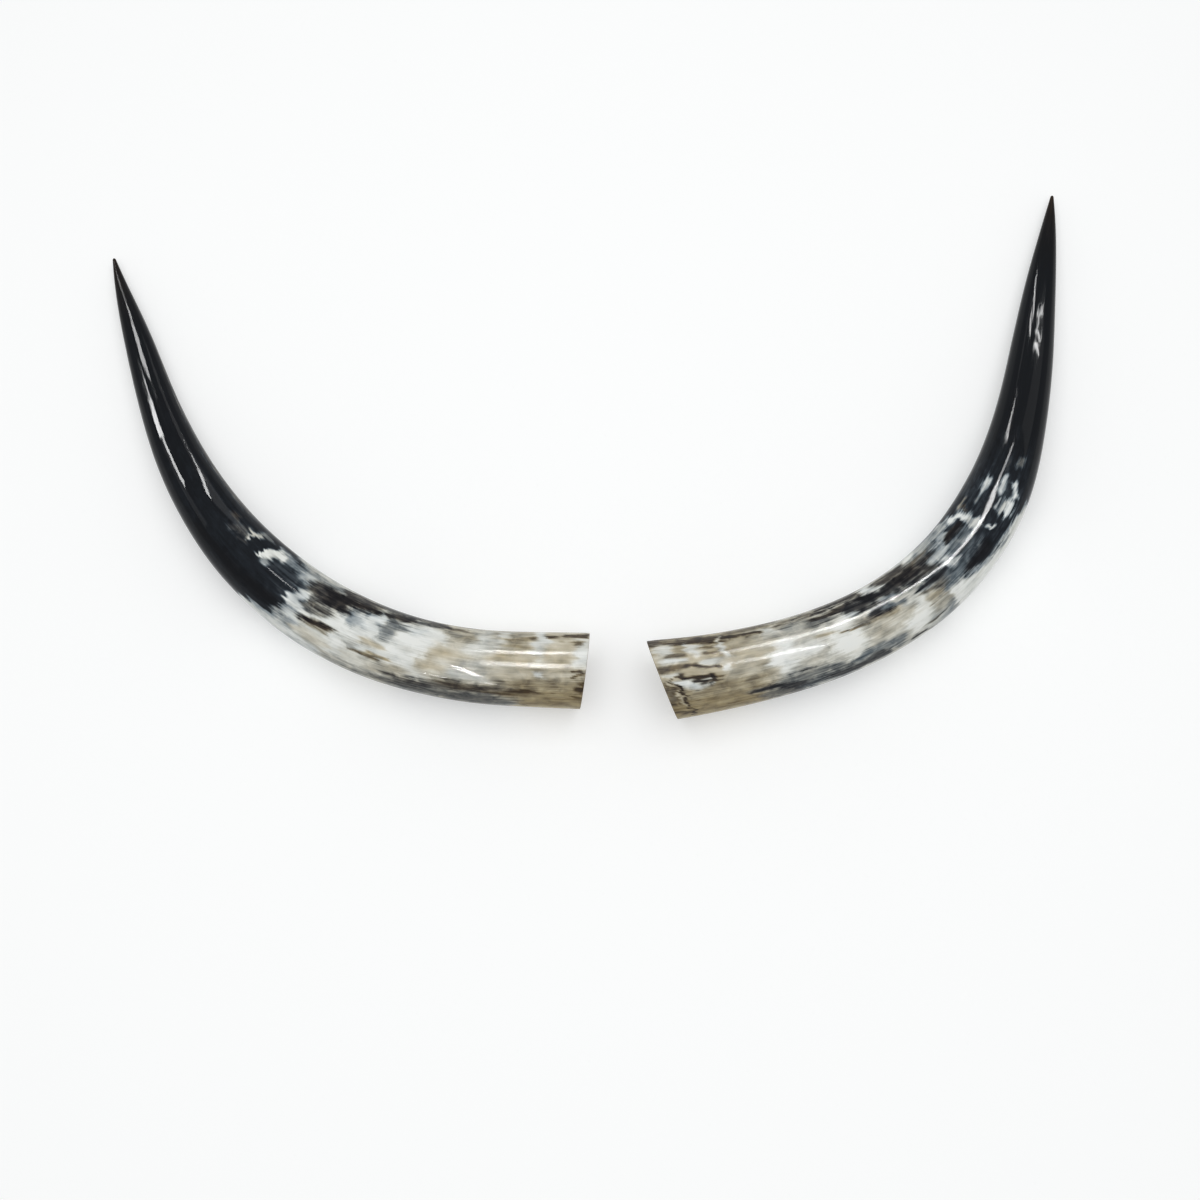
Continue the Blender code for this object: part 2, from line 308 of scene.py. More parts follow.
# The markings, with some painted sheen on the left horn's black half. Tone runs from -1 black through 0
# beige to 1 bluish white, and warmth from 0 cool blue-grey to 1 brown. A mark is (tone, warmth, softness of
# its edge, length of its soft ends,
# [(fraction, place across, half its breadth across), ...]), and a later mark lies over an earlier one.
leftMarks = {
    # over the black half the ground stays a little short of full black, lightest near fraction 0.43: partly
    # the horn's own dark grey, partly painted sheen
    "ground": [(-0.03, 0.34), (0.02, 0.34), (0.06, 0.26), (0.1, 0.15), (0.14, 0.2), (0.18, 0.34),
               (0.21, 0.5), (0.3, 0.53), (0.345, 0.45), (0.372, 0.05), (0.392, -0.35), (0.408, -0.68),
               (0.43, -0.82), (0.5, -0.87), (0.56, -0.92), (0.94, -0.92), (0.985, -0.85), (1.0, -0.8)],
    "dull": [(-0.03, 1.0), (0.004, 0.8), (0.02, 0.1), (0.1, 0.0), (1.0, 0.0)],
    "warmth": [(-0.03, 0.65), (0.08, 0.72), (0.12, 0.55), (0.18, 0.6), (0.22, 0.32), (0.3, 0.22),
               (0.36, 0.1), (0.42, 0.0), (0.9, 0.2), (1.0, 0.8)],
    "marks": [
        # the base: a frosted rim with flecks, tan clouds, a pale band across, and whiter clouds past it
        (0.7, 0.3, 0.8, 0.008, [(-0.008, -0.45, 0.45), (0.004, -0.35, 0.45)]),
        (-0.6, 0.8, 0.7, 0.005, [(-0.003, -0.92, 0.05), (0.022, -0.89, 0.05)]),
        (-0.6, 0.8, 0.7, 0.005, [(0.034, -0.86, 0.04), (0.053, -0.86, 0.04)]),
        (-0.45, 0.85, 0.7, 0.005, [(0.065, -0.82, 0.04), (0.078, -0.82, 0.03)]),
        (-0.3, 0.8, 0.7, 0.004, [(0.005, -0.72, 0.05), (0.02, -0.7, 0.05)]),
        (-0.35, 0.8, 0.7, 0.003, [(0.035, -0.72, 0.05), (0.039, -0.7, 0.06)]),
        (0.32, 0.8, 0.9, 0.01, [(0.025, -0.62, 0.13), (0.045, -0.62, 0.13)]),
        (0.15, 0.8, 0.9, 0.012, [(0.03, -0.28, 0.1), (0.052, -0.28, 0.1)]),
        (0.15, 0.7, 0.9, 0.02, [(0.01, 0.12, 0.18), (0.1, 0.12, 0.18)]),
        (0.7, 0.25, 0.8, 0.006, [(0.055, -0.85, 0.25), (0.06, -0.75, 0.28)]),
        (0.5, 0.3, 0.9, 0.007, [(0.058, -0.45, 0.22), (0.066, -0.4, 0.2)]),
        (0.6, 0.15, 0.8, 0.005, [(0.053, 0.15, 0.1), (0.059, 0.15, 0.1)]),
        (0.0, 0.85, 0.9, 0.01, [(0.075, -0.62, 0.07), (0.105, -0.62, 0.06)]),
        (-0.2, 0.8, 0.9, 0.008, [(0.08, -0.8, 0.05), (0.1, -0.77, 0.05)]),
        (0.1, 0.85, 0.9, 0.012, [(0.07, -0.3, 0.1), (0.115, -0.3, 0.1)]),
        (0.0, 0.6, 0.9, 0.008, [(0.075, -0.93, 0.05), (0.095, -0.93, 0.05)]),
        (0.55, 0.3, 0.8, 0.006, [(0.1, -0.92, 0.07), (0.108, -0.92, 0.06)]),
        (0.5, 0.35, 0.9, 0.008, [(0.113, -0.7, 0.06), (0.13, -0.7, 0.07)]),
        (0.5, 0.35, 0.9, 0.012, [(0.122, -0.5, 0.16), (0.142, -0.45, 0.18)]),
        (0.45, 0.3, 0.9, 0.01, [(0.135, -0.75, 0.2), (0.142, -0.75, 0.2)]),
        (0.02, 0.35, 0.9, 0.012, [(0.135, -0.02, 0.12), (0.16, 0.0, 0.1)]),
        (0.35, 0.3, 0.9, 0.012, [(0.14, 0.3, 0.12), (0.17, 0.3, 0.15)]),
        # the olive outer side
        (-0.12, 0.75, 0.9, 0.02, [(0.0, 0.38, 0.18), (0.05, 0.38, 0.16), (0.1, 0.42, 0.12)]),
        (-0.18, 0.95, 0.8, 0.02, [(-0.005, 0.78, 0.34), (0.05, 0.78, 0.34), (0.075, 0.76, 0.28)]),
        (-0.28, 0.85, 0.9, 0.015, [(0.075, 0.62, 0.16), (0.12, 0.66, 0.14)]),
        (-0.32, 0.35, 0.8, 0.012, [(0.1, 0.92, 0.16), (0.13, 0.92, 0.16)]),
        (-0.42, 0.35, 0.9, 0.015, [(0.13, 0.86, 0.22), (0.2, 0.84, 0.22)]),
        (-0.45, 0.3, 0.9, 0.012, [(0.205, 0.88, 0.18), (0.245, 0.9, 0.15)]),
        (-0.15, 0.3, 0.8, 0.012, [(0.25, 0.93, 0.12), (0.29, 0.93, 0.12)]),
        (-0.7, 0.9, 0.7, 0.003, [(0.006, 0.0, 0.03), (0.014, 0.01, 0.02)]),
        (-0.6, 0.9, 0.7, 0.003, [(0.003, 0.1, 0.03), (0.012, 0.14, 0.03)]),
        (-0.75, 0.9, 0.7, 0.004, [(-0.001, 0.42, 0.1), (0.01, 0.44, 0.07)]),
        (-0.65, 0.9, 0.6, 0.004, [(0.0, 0.68, 0.025), (0.012, 0.68, 0.02)]),
        # the long dark streak down it
        (-0.6, 0.9, 0.6, 0.008, [(0.065, 0.575, 0.02), (0.08, 0.585, 0.03), (0.1, 0.6, 0.025)]),
        (-0.55, 0.85, 0.8, 0.008, [(0.095, 0.67, 0.025), (0.12, 0.67, 0.025)]),
        (-0.42, 0.55, 0.9, 0.012, [(0.11, 0.5, 0.1), (0.14, 0.52, 0.12), (0.165, 0.56, 0.11),
                                   (0.185, 0.61, 0.08)]),
        (-0.6, 0.6, 0.85, 0.01, [(0.13, 0.56, 0.05), (0.16, 0.58, 0.06), (0.175, 0.6, 0.05)]),
        (-0.48, 0.4, 0.9, 0.012, [(0.19, 0.66, 0.08), (0.21, 0.74, 0.12), (0.235, 0.76, 0.13),
                                  (0.26, 0.75, 0.06)]),
        (-0.62, 0.4, 0.85, 0.008, [(0.205, 0.72, 0.05), (0.235, 0.74, 0.05)]),
        # the pale middle: tan clouds, white clouds, and dark streaks along the inner edge
        (-0.05, 0.6, 0.9, 0.01, [(0.15, -0.78, 0.12), (0.175, -0.76, 0.12)]),
        (0.36, 0.85, 0.9, 0.012, [(0.175, -0.25, 0.17), (0.2, -0.22, 0.2)]),
        (0.2, 0.8, 0.9, 0.008, [(0.188, 0.18, 0.14), (0.21, 0.15, 0.15)]),
        (0.15, 0.75, 0.9, 0.006, [(0.2, -0.02, 0.12), (0.208, 0.05, 0.12)]),
        (-0.5, 0.6, 0.8, 0.01, [(0.165, -0.9, 0.025), (0.185, -0.9, 0.03), (0.21, -0.92, 0.05),
                                (0.24, -0.93, 0.05)]),
        (-0.6, 0.5, 0.8, 0.008, [(0.192, -0.95, 0.05), (0.235, -0.95, 0.07)]),
        (-0.42, 0.3, 0.9, 0.012, [(0.205, -0.85, 0.08), (0.235, -0.84, 0.1)]),
        (0.85, 0.3, 0.9, 0.008, [(0.188, -0.6, 0.12), (0.208, -0.6, 0.12)]),
        (0.9, 0.3, 0.9, 0.01, [(0.212, -0.35, 0.35), (0.232, -0.3, 0.38)]),
        (0.7, 0.1, 0.9, 0.008, [(0.222, -0.6, 0.12), (0.232, -0.6, 0.12)]),
        (-0.75, 0.45, 0.8, 0.008, [(0.243, -0.84, 0.09), (0.262, -0.82, 0.11), (0.275, -0.78, 0.09)]),
        (-0.6, 0.35, 0.8, 0.006, [(0.24, -0.97, 0.05), (0.275, -0.97, 0.06)]),
        (-0.2, 0.2, 0.9, 0.01, [(0.245, -0.6, 0.14), (0.262, -0.45, 0.26), (0.278, -0.36, 0.18)]),
        (-0.35, 0.25, 0.95, 0.01, [(0.258, -0.68, 0.08), (0.275, -0.6, 0.1)]),
        (0.75, 0.0, 0.9, 0.006, [(0.281, -0.62, 0.15), (0.289, -0.58, 0.13)]),
        (-0.5, 0.2, 0.9, 0.008, [(0.3, -0.62, 0.1), (0.312, -0.52, 0.12)]),
        (0.6, 0.1, 0.9, 0.01, [(0.285, -0.35, 0.14), (0.3, -0.3, 0.14)]),
        (0.85, 0.3, 0.9, 0.012, [(0.235, 0.05, 0.2), (0.262, -0.05, 0.12)]),
        (0.9, 0.25, 0.9, 0.01, [(0.285, -0.08, 0.12), (0.315, -0.06, 0.14)]),
        (0.1, 0.8, 0.9, 0.008, [(0.268, 0.1, 0.1), (0.285, 0.1, 0.09)]),
        (0.15, 0.6, 0.9, 0.012, [(0.235, 0.55, 0.15), (0.275, 0.62, 0.16)]),
        (0.55, 0.5, 0.9, 0.01, [(0.285, 0.65, 0.16), (0.305, 0.65, 0.16)]),
        (-0.15, 0.9, 0.8, 0.006, [(0.252, 0.35, 0.03), (0.27, 0.36, 0.035)]),
        (-0.38, 0.8, 0.7, 0.006, [(0.265, 0.42, 0.025), (0.297, 0.43, 0.03)]),
        (-0.3, 0.4, 0.9, 0.012, [(0.25, 0.93, 0.1), (0.31, 0.92, 0.12)]),
        (0.15, 0.4, 0.9, 0.01, [(0.27, 0.85, 0.08), (0.33, 0.88, 0.08)]),
        # towards the black half: white clouds cut by black, brown and blue-grey streaks
        (-0.58, 0.5, 0.85, 0.008, [(0.287, -0.93, 0.1), (0.34, -0.92, 0.11)]),
        (-0.5, 0.4, 0.85, 0.006, [(0.295, -0.84, 0.05), (0.34, -0.82, 0.05)]),
        (-0.8, 0.5, 0.7, 0.008, [(0.292, -0.75, 0.06), (0.31, -0.72, 0.08), (0.34, -0.7, 0.1)]),
        (0.04, 0.0, 0.9, 0.009, [(0.305, -0.3, 0.17), (0.326, -0.28, 0.17)]),
        (0.9, 0.25, 0.9, 0.006, [(0.322, -0.08, 0.14), (0.338, -0.12, 0.2)]),
        (-0.75, 0.45, 0.9, 0.01, [(0.333, -0.6, 0.26), (0.35, -0.52, 0.34), (0.368, -0.5, 0.33),
                                  (0.38, -0.48, 0.28)]),
        (-0.55, 0.35, 0.9, 0.01, [(0.37, -0.62, 0.2), (0.385, -0.62, 0.22)]),
        (-0.45, 0.4, 0.8, 0.006, [(0.35, -0.17, 0.05), (0.368, -0.15, 0.05), (0.385, -0.12, 0.04)]),
        (-0.2, 0.45, 0.9, 0.006, [(0.352, -0.03, 0.07), (0.372, -0.01, 0.09)]),
        (-0.5, 0.2, 0.9, 0.005, [(0.37, 0.03, 0.07), (0.383, 0.04, 0.05)]),
        (0.95, 0.3, 0.85, 0.008, [(0.318, 0.1, 0.1), (0.345, 0.12, 0.08), (0.37, 0.16, 0.05),
                                  (0.405, 0.19, 0.03)]),
        (0.0, 0.3, 0.9, 0.006, [(0.3, 0.3, 0.1), (0.312, 0.32, 0.1)]),
        (-0.75, 0.65, 0.9, 0.007, [(0.328, 0.2, 0.05), (0.343, 0.26, 0.11), (0.375, 0.3, 0.09)]),
        (-0.35, 0.6, 0.8, 0.005, [(0.335, 0.38, 0.03), (0.36, 0.4, 0.04)]),
        (0.8, 0.35, 0.9, 0.006, [(0.316, 0.52, 0.17), (0.326, 0.56, 0.14)]),
        (0.34, 0.6, 0.9, 0.008, [(0.335, 0.66, 0.14), (0.372, 0.66, 0.16)]),
        (0.5, 0.05, 0.9, 0.006, [(0.383, -0.2, 0.1), (0.398, -0.05, 0.18)]),
        (0.6, 0.05, 0.9, 0.007, [(0.386, 0.05, 0.12), (0.4, 0.1, 0.15)]),
        (0.4, 0.05, 0.9, 0.008, [(0.38, 0.42, 0.16), (0.395, 0.42, 0.16)]),
        (0.0, 0.05, 0.9, 0.008, [(0.392, 0.6, 0.1), (0.405, 0.62, 0.08)]),
        (0.2, 0.1, 0.9, 0.008, [(0.394, -0.72, 0.12), (0.403, -0.62, 0.2)]),
        (0.4, 0.05, 0.85, 0.006, [(0.395, -0.52, 0.08), (0.41, -0.5, 0.08)]),
        (-0.1, 0.2, 0.9, 0.01, [(0.36, -0.86, 0.06), (0.4, -0.85, 0.08)]),
        (0.3, 0.3, 0.9, 0.01, [(0.345, -0.97, 0.05), (0.39, -0.96, 0.09), (0.425, -0.97, 0.05)]),
        (-0.25, 0.05, 0.9, 0.01, [(0.415, -0.7, 0.14), (0.437, -0.7, 0.14)]),
        (-0.7, 0.0, 0.9, 0.008, [(0.4, -0.4, 0.12), (0.44, -0.42, 0.16)]),
        (-0.15, 0.05, 0.9, 0.005, [(0.428, -0.8, 0.05), (0.44, -0.78, 0.06)]),
        (0.62, 0.2, 0.85, 0.008, [(0.37, 0.86, 0.14), (0.405, 0.9, 0.15), (0.43, 0.95, 0.12),
                                  (0.452, 1.02, 0.08)]),
        (0.1, 0.0, 0.9, 0.006, [(0.41, 0.8, 0.06), (0.435, 0.86, 0.05)]),
        # the last pale flecks in the black
        (-1.0, 0.2, 0.9, 0.02, [(0.425, 0.5, 0.16), (0.55, 0.6, 0.16)]),
        (0.95, 0.35, 0.8, 0.005, [(0.443, -0.66, 0.1), (0.45, -0.6, 0.18), (0.458, -0.54, 0.25),
                                  (0.464, -0.46, 0.2), (0.469, -0.3, 0.07), (0.472, -0.22, 0.03)]),
        (-0.5, 0.2, 0.9, 0.005, [(0.478, -0.85, 0.06), (0.49, -0.8, 0.08)]),
        (0.5, 0.45, 0.8, 0.004, [(0.492, -0.68, 0.06), (0.4965, -0.5, 0.14), (0.499, -0.38, 0.1)]),
        (0.75, 0.5, 0.6, 0.005, [(0.488, -0.61, 0.03), (0.503, -0.6, 0.02)]),
        (-0.55, 0.3, 0.9, 0.008, [(0.508, -0.45, 0.14), (0.528, -0.32, 0.16)]),
        (-0.6, 0.3, 0.9, 0.006, [(0.5, -0.2, 0.08), (0.51, -0.15, 0.06)]),
        (-0.7, 0.4, 0.9, 0.006, [(0.535, -0.55, 0.1), (0.545, -0.5, 0.08)]),
        # a grey band along the inner edge of the black half: painted sheen, the floor's reflection at that
        # edge
        (-0.6, 0.4, 0.9, 0.03, [(0.55, -0.98, 0.12), (0.9, -0.98, 0.12)]),
    ],
}
rightMarks = {
    "ground": [(-0.03, 0.1), (0.05, 0.1), (0.1, 0.12), (0.15, 0.2), (0.2, 0.4), (0.24, 0.48), (0.28, 0.28),
               (0.33, 0.3), (0.35, 0.25), (0.375, -0.1), (0.4, -0.4), (0.44, -0.76), (0.46, -0.8),
               (0.52, -0.74), (0.55, -0.84), (0.58, -0.92), (0.94, -0.94), (0.985, -0.8), (1.0, -0.7)],
    "dull": [(-0.03, 1.0), (0.045, 0.8), (0.085, 0.2), (0.14, 0.05), (0.22, 0.0), (1.0, 0.0)],
    "warmth": [(-0.03, 0.75), (0.1, 0.75), (0.15, 0.5), (0.22, 0.4), (0.3, 0.4), (0.36, 0.2), (0.42, 0.0),
               (0.9, 0.2), (1.0, 0.9)],
    "marks": [
        # the base: olive outside, dark flecks along the grain, white patches and a pale band across
        (-0.2, 0.95, 0.85, 0.03, [(0.0, 0.75, 0.38), (0.06, 0.75, 0.38), (0.1, 0.8, 0.3)]),
        (-0.15, 0.8, 0.9, 0.02, [(0.0, 0.3, 0.14), (0.04, 0.35, 0.16), (0.11, 0.35, 0.14)]),
        (-0.6, 0.7, 0.9, 0.012, [(-0.01, -0.9, 0.09), (0.03, -0.88, 0.09), (0.07, -0.86, 0.09),
                                 (0.09, -0.84, 0.06)]),
        (-0.6, 0.75, 0.75, 0.008, [(0.045, -0.86, 0.05), (0.062, -0.82, 0.07), (0.078, -0.8, 0.06)]),
        (-0.65, 0.7, 0.75, 0.01, [(0.095, -0.82, 0.03), (0.125, -0.78, 0.035), (0.145, -0.73, 0.03)]),
        (-0.3, 0.7, 0.8, 0.015, [(0.09, -0.94, 0.06), (0.14, -0.94, 0.06)]),
        (0.5, 0.4, 0.8, 0.006, [(-0.003, -0.7, 0.16), (0.007, -0.7, 0.14)]),
        (0.65, 0.3, 0.75, 0.005, [(0.036, -0.7, 0.14), (0.046, -0.6, 0.14)]),
        (0.4, 0.6, 0.8, 0.004, [(0.05, -0.58, 0.08), (0.058, -0.55, 0.07)]),
        (0.5, 0.4, 0.8, 0.005, [(0.0, -0.42, 0.05), (0.015, -0.42, 0.05)]),
        (-0.4, 0.7, 0.8, 0.004, [(0.006, -0.55, 0.06), (0.012, -0.58, 0.07), (0.025, -0.55, 0.05)]),
        (-0.35, 0.8, 0.8, 0.006, [(-0.008, -0.35, 0.025), (0.004, -0.3, 0.06), (0.027, -0.26, 0.05)]),
        (-0.45, 0.85, 0.8, 0.006, [(0.016, -0.27, 0.04), (0.028, -0.26, 0.05)]),
        (-0.65, 0.8, 0.7, 0.006, [(0.033, -0.28, 0.04), (0.05, -0.24, 0.05), (0.065, -0.2, 0.035),
                                  (0.08, -0.12, 0.02)]),
        (0.6, 0.25, 0.8, 0.006, [(0.058, -0.31, 0.05), (0.075, -0.3, 0.06)]),
        (0.7, 0.2, 0.85, 0.004, [(0.008, -0.44, 0.04), (0.03, -0.41, 0.04)]),
        (0.6, 0.3, 0.85, 0.003, [(0.0, -0.15, 0.05), (0.01, -0.13, 0.05)]),
        (-0.45, 0.8, 0.85, 0.006, [(0.06, -0.52, 0.03), (0.082, -0.48, 0.03)]),
        (-0.35, 0.8, 0.85, 0.005, [(0.06, -0.68, 0.03), (0.075, -0.66, 0.03)]),
        (0.6, 0.3, 0.8, 0.004, [(0.081, -0.55, 0.35), (0.085, -0.2, 0.2)]),
        (0.6, 0.3, 0.8, 0.004, [(0.08, -0.1, 0.1), (0.083, -0.1, 0.1)]),
        (0.7, 0.15, 0.75, 0.005, [(0.02, 0.17, 0.09), (0.032, 0.18, 0.1), (0.042, 0.22, 0.07)]),
        (0.5, 0.2, 0.75, 0.004, [(0.05, 0.24, 0.04), (0.06, 0.24, 0.04)]),
        (0.45, 0.3, 0.8, 0.004, [(0.035, 0.08, 0.03), (0.05, 0.1, 0.025)]),
        (-0.68, 0.85, 0.8, 0.006, [(0.013, -0.08, 0.02), (0.03, 0.0, 0.035), (0.045, 0.02, 0.03),
                                   (0.068, 0.08, 0.03)]),
        (-0.8, 0.6, 0.7, 0.004, [(0.038, 0.14, 0.04), (0.05, 0.17, 0.05)]),
        (-0.75, 0.6, 0.7, 0.003, [(0.055, 0.1, 0.12), (0.058, 0.12, 0.12)]),
        (-0.65, 0.7, 0.7, 0.004, [(0.06, 0.2, 0.03), (0.072, 0.2, 0.03)]),
        (-0.35, 0.7, 0.8, 0.005, [(-0.006, 0.35, 0.12), (0.01, 0.4, 0.14)]),
        (-0.5, 0.75, 0.75, 0.003, [(0.003, 0.6, 0.06), (0.008, 0.62, 0.06)]),
        (-0.45, 0.8, 0.75, 0.004, [(0.004, 0.8, 0.02), (0.022, 0.84, 0.02)]),
        # the oblique groove and the lighter ledge beside it
        (0.2, 0.7, 0.8, 0.002, [(0.006, 0.05, 0.05), (0.013, 0.35, 0.06), (0.022, 0.65, 0.06)]),
        (-0.45, 0.8, 0.7, 0.0015, [(0.003, 0.1, 0.05), (0.009, 0.35, 0.06), (0.015, 0.6, 0.06)]),
        (-0.72, 0.7, 0.6, 0.0016, [(0.009, -0.05, 0.05), (0.013, 0.15, 0.06), (0.018, 0.35, 0.08),
                                   (0.025, 0.6, 0.08), (0.033, 0.9, 0.06)]),
        # past the base: soft beige and white clouds
        (0.1, 0.65, 0.9, 0.015, [(0.09, 0.1, 0.15), (0.13, 0.12, 0.14)]),
        (0.12, 0.7, 0.9, 0.015, [(0.09, -0.28, 0.08), (0.14, -0.26, 0.08)]),
        (1.0, 0.25, 0.9, 0.009, [(0.14, 0.0, 0.17), (0.158, 0.05, 0.25)]),
        (0.85, 0.3, 0.9, 0.006, [(0.15, 0.32, 0.16), (0.158, 0.35, 0.14)]),
        (0.6, 0.3, 0.9, 0.006, [(0.165, 0.4, 0.1), (0.175, 0.42, 0.08)]),
        (0.8, 0.3, 0.9, 0.008, [(0.155, -0.35, 0.14), (0.165, -0.25, 0.16)]),
        (0.55, 0.3, 0.9, 0.006, [(0.14, -0.75, 0.1), (0.15, -0.75, 0.1)]),
        (0.85, 0.3, 0.9, 0.012, [(0.17, -0.05, 0.13), (0.195, 0.0, 0.13)]),
        (0.05, 0.45, 0.9, 0.015, [(0.178, 0.32, 0.12), (0.206, 0.28, 0.14)]),
        (0.0, 0.8, 0.9, 0.008, [(0.205, -0.25, 0.07), (0.225, -0.2, 0.06)]),
        (1.1, 0.35, 0.9, 0.009, [(0.222, 0.1, 0.24), (0.235, 0.22, 0.33), (0.25, 0.2, 0.28)]),
        (0.8, 0.4, 0.9, 0.009, [(0.245, 0.5, 0.14), (0.262, 0.2, 0.2)]),
        (0.85, 0.35, 0.9, 0.006, [(0.228, -0.3, 0.1), (0.236, -0.2, 0.12)]),
        (-0.3, 1.0, 0.7, 0.006, [(0.235, -0.12, 0.02), (0.25, -0.07, 0.025), (0.275, 0.0, 0.02)]),
        (-0.1, 0.5, 0.9, 0.008, [(0.262, -0.15, 0.12), (0.285, -0.1, 0.12)]),
        (0.22, 0.55, 0.9, 0.012, [(0.27, 0.3, 0.25), (0.32, 0.25, 0.25)]),
        (-0.05, 0.75, 0.9, 0.01, [(0.285, -0.05, 0.08), (0.31, 0.02, 0.1)]),
        # the streak down the outer side: blue-black, then blue-grey, then black
        (-0.35, 0.25, 0.9, 0.012, [(0.15, 0.6, 0.12), (0.2, 0.65, 0.14), (0.23, 0.72, 0.1)]),
        (-0.3, 0.6, 0.95, 0.012, [(0.11, 0.62, 0.05), (0.125, 0.66, 0.07)]),
        (-0.35, 0.4, 0.85, 0.012, [(0.13, 0.85, 0.12), (0.165, 0.9, 0.1)]),
        (-0.75, 0.25, 0.95, 0.014, [(0.124, 0.67, 0.05), (0.14, 0.7, 0.07), (0.165, 0.77, 0.07),
                                    (0.185, 0.82, 0.06)]),
        (-0.5, 0.1, 0.85, 0.012, [(0.18, 0.88, 0.1), (0.215, 0.9, 0.1)]),
        (-0.6, 0.25, 0.85, 0.01, [(0.21, 0.86, 0.1), (0.24, 0.87, 0.13), (0.275, 0.86, 0.1)]),
        (-0.25, 0.1, 0.9, 0.006, [(0.24, 0.72, 0.06), (0.26, 0.7, 0.06)]),
        (-0.25, 0.15, 0.9, 0.008, [(0.25, 0.66, 0.04), (0.28, 0.68, 0.08), (0.296, 0.75, 0.12)]),
        # the dark inner side
        (-0.35, 0.6, 0.85, 0.012, [(0.165, -0.85, 0.1), (0.2, -0.88, 0.1)]),
        (0.1, 0.35, 0.9, 0.012, [(0.17, -0.68, 0.12), (0.2, -0.66, 0.12)]),
        (-0.28, 0.35, 0.9, 0.01, [(0.2, -0.65, 0.12), (0.225, -0.62, 0.13)]),
        (-0.7, 0.5, 0.8, 0.008, [(0.21, -0.76, 0.05), (0.235, -0.72, 0.07), (0.25, -0.7, 0.1)]),
        (-0.75, 0.5, 0.9, 0.01, [(0.22, -0.92, 0.08), (0.275, -0.92, 0.09)]),
        (-0.5, 0.25, 0.9, 0.008, [(0.262, -0.44, 0.05), (0.29, -0.4, 0.08)]),
        (-0.75, 0.3, 0.9, 0.008, [(0.252, -0.66, 0.13), (0.275, -0.6, 0.18), (0.3, -0.6, 0.2),
                                  (0.33, -0.58, 0.18)]),
        (-0.9, 0.3, 0.75, 0.006, [(0.28, -0.75, 0.1), (0.3, -0.72, 0.08)]),
        (0.45, 0.0, 0.85, 0.005, [(0.246, -0.49, 0.05), (0.257, -0.5, 0.05)]),
        (-0.8, 0.2, 0.9, 0.009, [(0.282, -0.23, 0.1), (0.3, -0.17, 0.12)]),
        (0.65, 0.15, 0.9, 0.006, [(0.292, -0.9, 0.12), (0.303, -0.82, 0.12), (0.312, -0.78, 0.06)]),
        # towards the black half
        (0.0, 0.05, 0.9, 0.006, [(0.305, -0.42, 0.05), (0.315, -0.38, 0.05)]),
        (-0.3, 0.05, 0.9, 0.006, [(0.305, -0.15, 0.08), (0.325, -0.05, 0.08), (0.333, 0.1, 0.1),
                                  (0.335, 0.25, 0.06)]),
        (-0.3, 0.3, 0.9, 0.006, [(0.331, -0.32, 0.09), (0.345, -0.27, 0.09)]),
        (0.7, 0.35, 0.9, 0.006, [(0.335, 0.15, 0.27), (0.342, 0.3, 0.3)]),
        (0.9, 0.35, 0.9, 0.006, [(0.32, 0.6, 0.2), (0.335, 0.62, 0.2)]),
        (-0.75, 0.35, 0.9, 0.006, [(0.34, -0.5, 0.09), (0.36, -0.52, 0.1), (0.39, -0.42, 0.06)]),
        (-0.65, 0.5, 0.9, 0.01, [(0.335, -0.68, 0.14), (0.365, -0.68, 0.12)]),
        (-0.55, 0.5, 0.9, 0.01, [(0.315, -0.88, 0.07), (0.35, -0.87, 0.08)]),
        (-0.4, 0.6, 0.9, 0.008, [(0.37, -0.72, 0.06), (0.4, -0.78, 0.08)]),
        (-0.6, 0.35, 0.9, 0.006, [(0.378, -0.6, 0.08), (0.394, -0.6, 0.06)]),
        (-0.75, 0.35, 0.9, 0.007, [(0.355, -0.33, 0.11), (0.387, -0.3, 0.12)]),
        (-0.72, 0.15, 0.9, 0.006, [(0.35, -0.08, 0.07), (0.375, -0.05, 0.1), (0.395, -0.02, 0.09)]),
        (-0.3, 0.5, 0.8, 0.005, [(0.348, 0.1, 0.03), (0.38, 0.14, 0.04)]),
        (0.15, 0.7, 0.85, 0.006, [(0.353, 0.28, 0.1), (0.374, 0.3, 0.12)]),
        (-0.4, 0.4, 0.9, 0.006, [(0.372, 0.15, 0.1), (0.385, 0.2, 0.15)]),
        (-0.45, 0.5, 0.75, 0.005, [(0.347, 0.44, 0.02), (0.372, 0.46, 0.025)]),
        (-0.1, 0.5, 0.9, 0.007, [(0.358, 0.6, 0.12), (0.378, 0.62, 0.12)]),
        (-0.6, 0.5, 0.85, 0.006, [(0.34, 0.82, 0.025), (0.362, 0.8, 0.025)]),
        (-0.6, 0.4, 0.75, 0.005, [(0.318, 0.92, 0.04), (0.335, 0.92, 0.04)]),
        (0.85, 0.3, 0.9, 0.008, [(0.365, -0.92, 0.06), (0.385, -0.92, 0.07)]),
        (0.15, 0.15, 0.9, 0.008, [(0.39, -0.9, 0.1), (0.44, -0.88, 0.1)]),
        (-0.4, 0.1, 0.9, 0.008, [(0.405, -0.62, 0.16), (0.425, -0.65, 0.16)]),
        (0.25, 0.05, 0.9, 0.006, [(0.393, -0.4, 0.12), (0.403, -0.42, 0.2), (0.415, -0.38, 0.2)]),
        (0.2, 0.0, 0.85, 0.005, [(0.418, -0.72, 0.08), (0.428, -0.7, 0.08)]),
        (-0.45, 0.0, 0.9, 0.01, [(0.395, 0.2, 0.22), (0.44, 0.22, 0.22)]),
        (-0.65, 0.0, 0.9, 0.008, [(0.4, 0.05, 0.1), (0.44, 0.05, 0.1)]),
        (-0.35, 0.05, 0.9, 0.008, [(0.42, -0.22, 0.12), (0.455, -0.22, 0.16)]),
        (0.45, 0.1, 0.85, 0.004, [(0.403, -0.1, 0.15), (0.41, -0.05, 0.12)]),
        (-0.85, 0.5, 0.85, 0.006, [(0.425, -0.5, 0.07), (0.455, -0.48, 0.09)]),
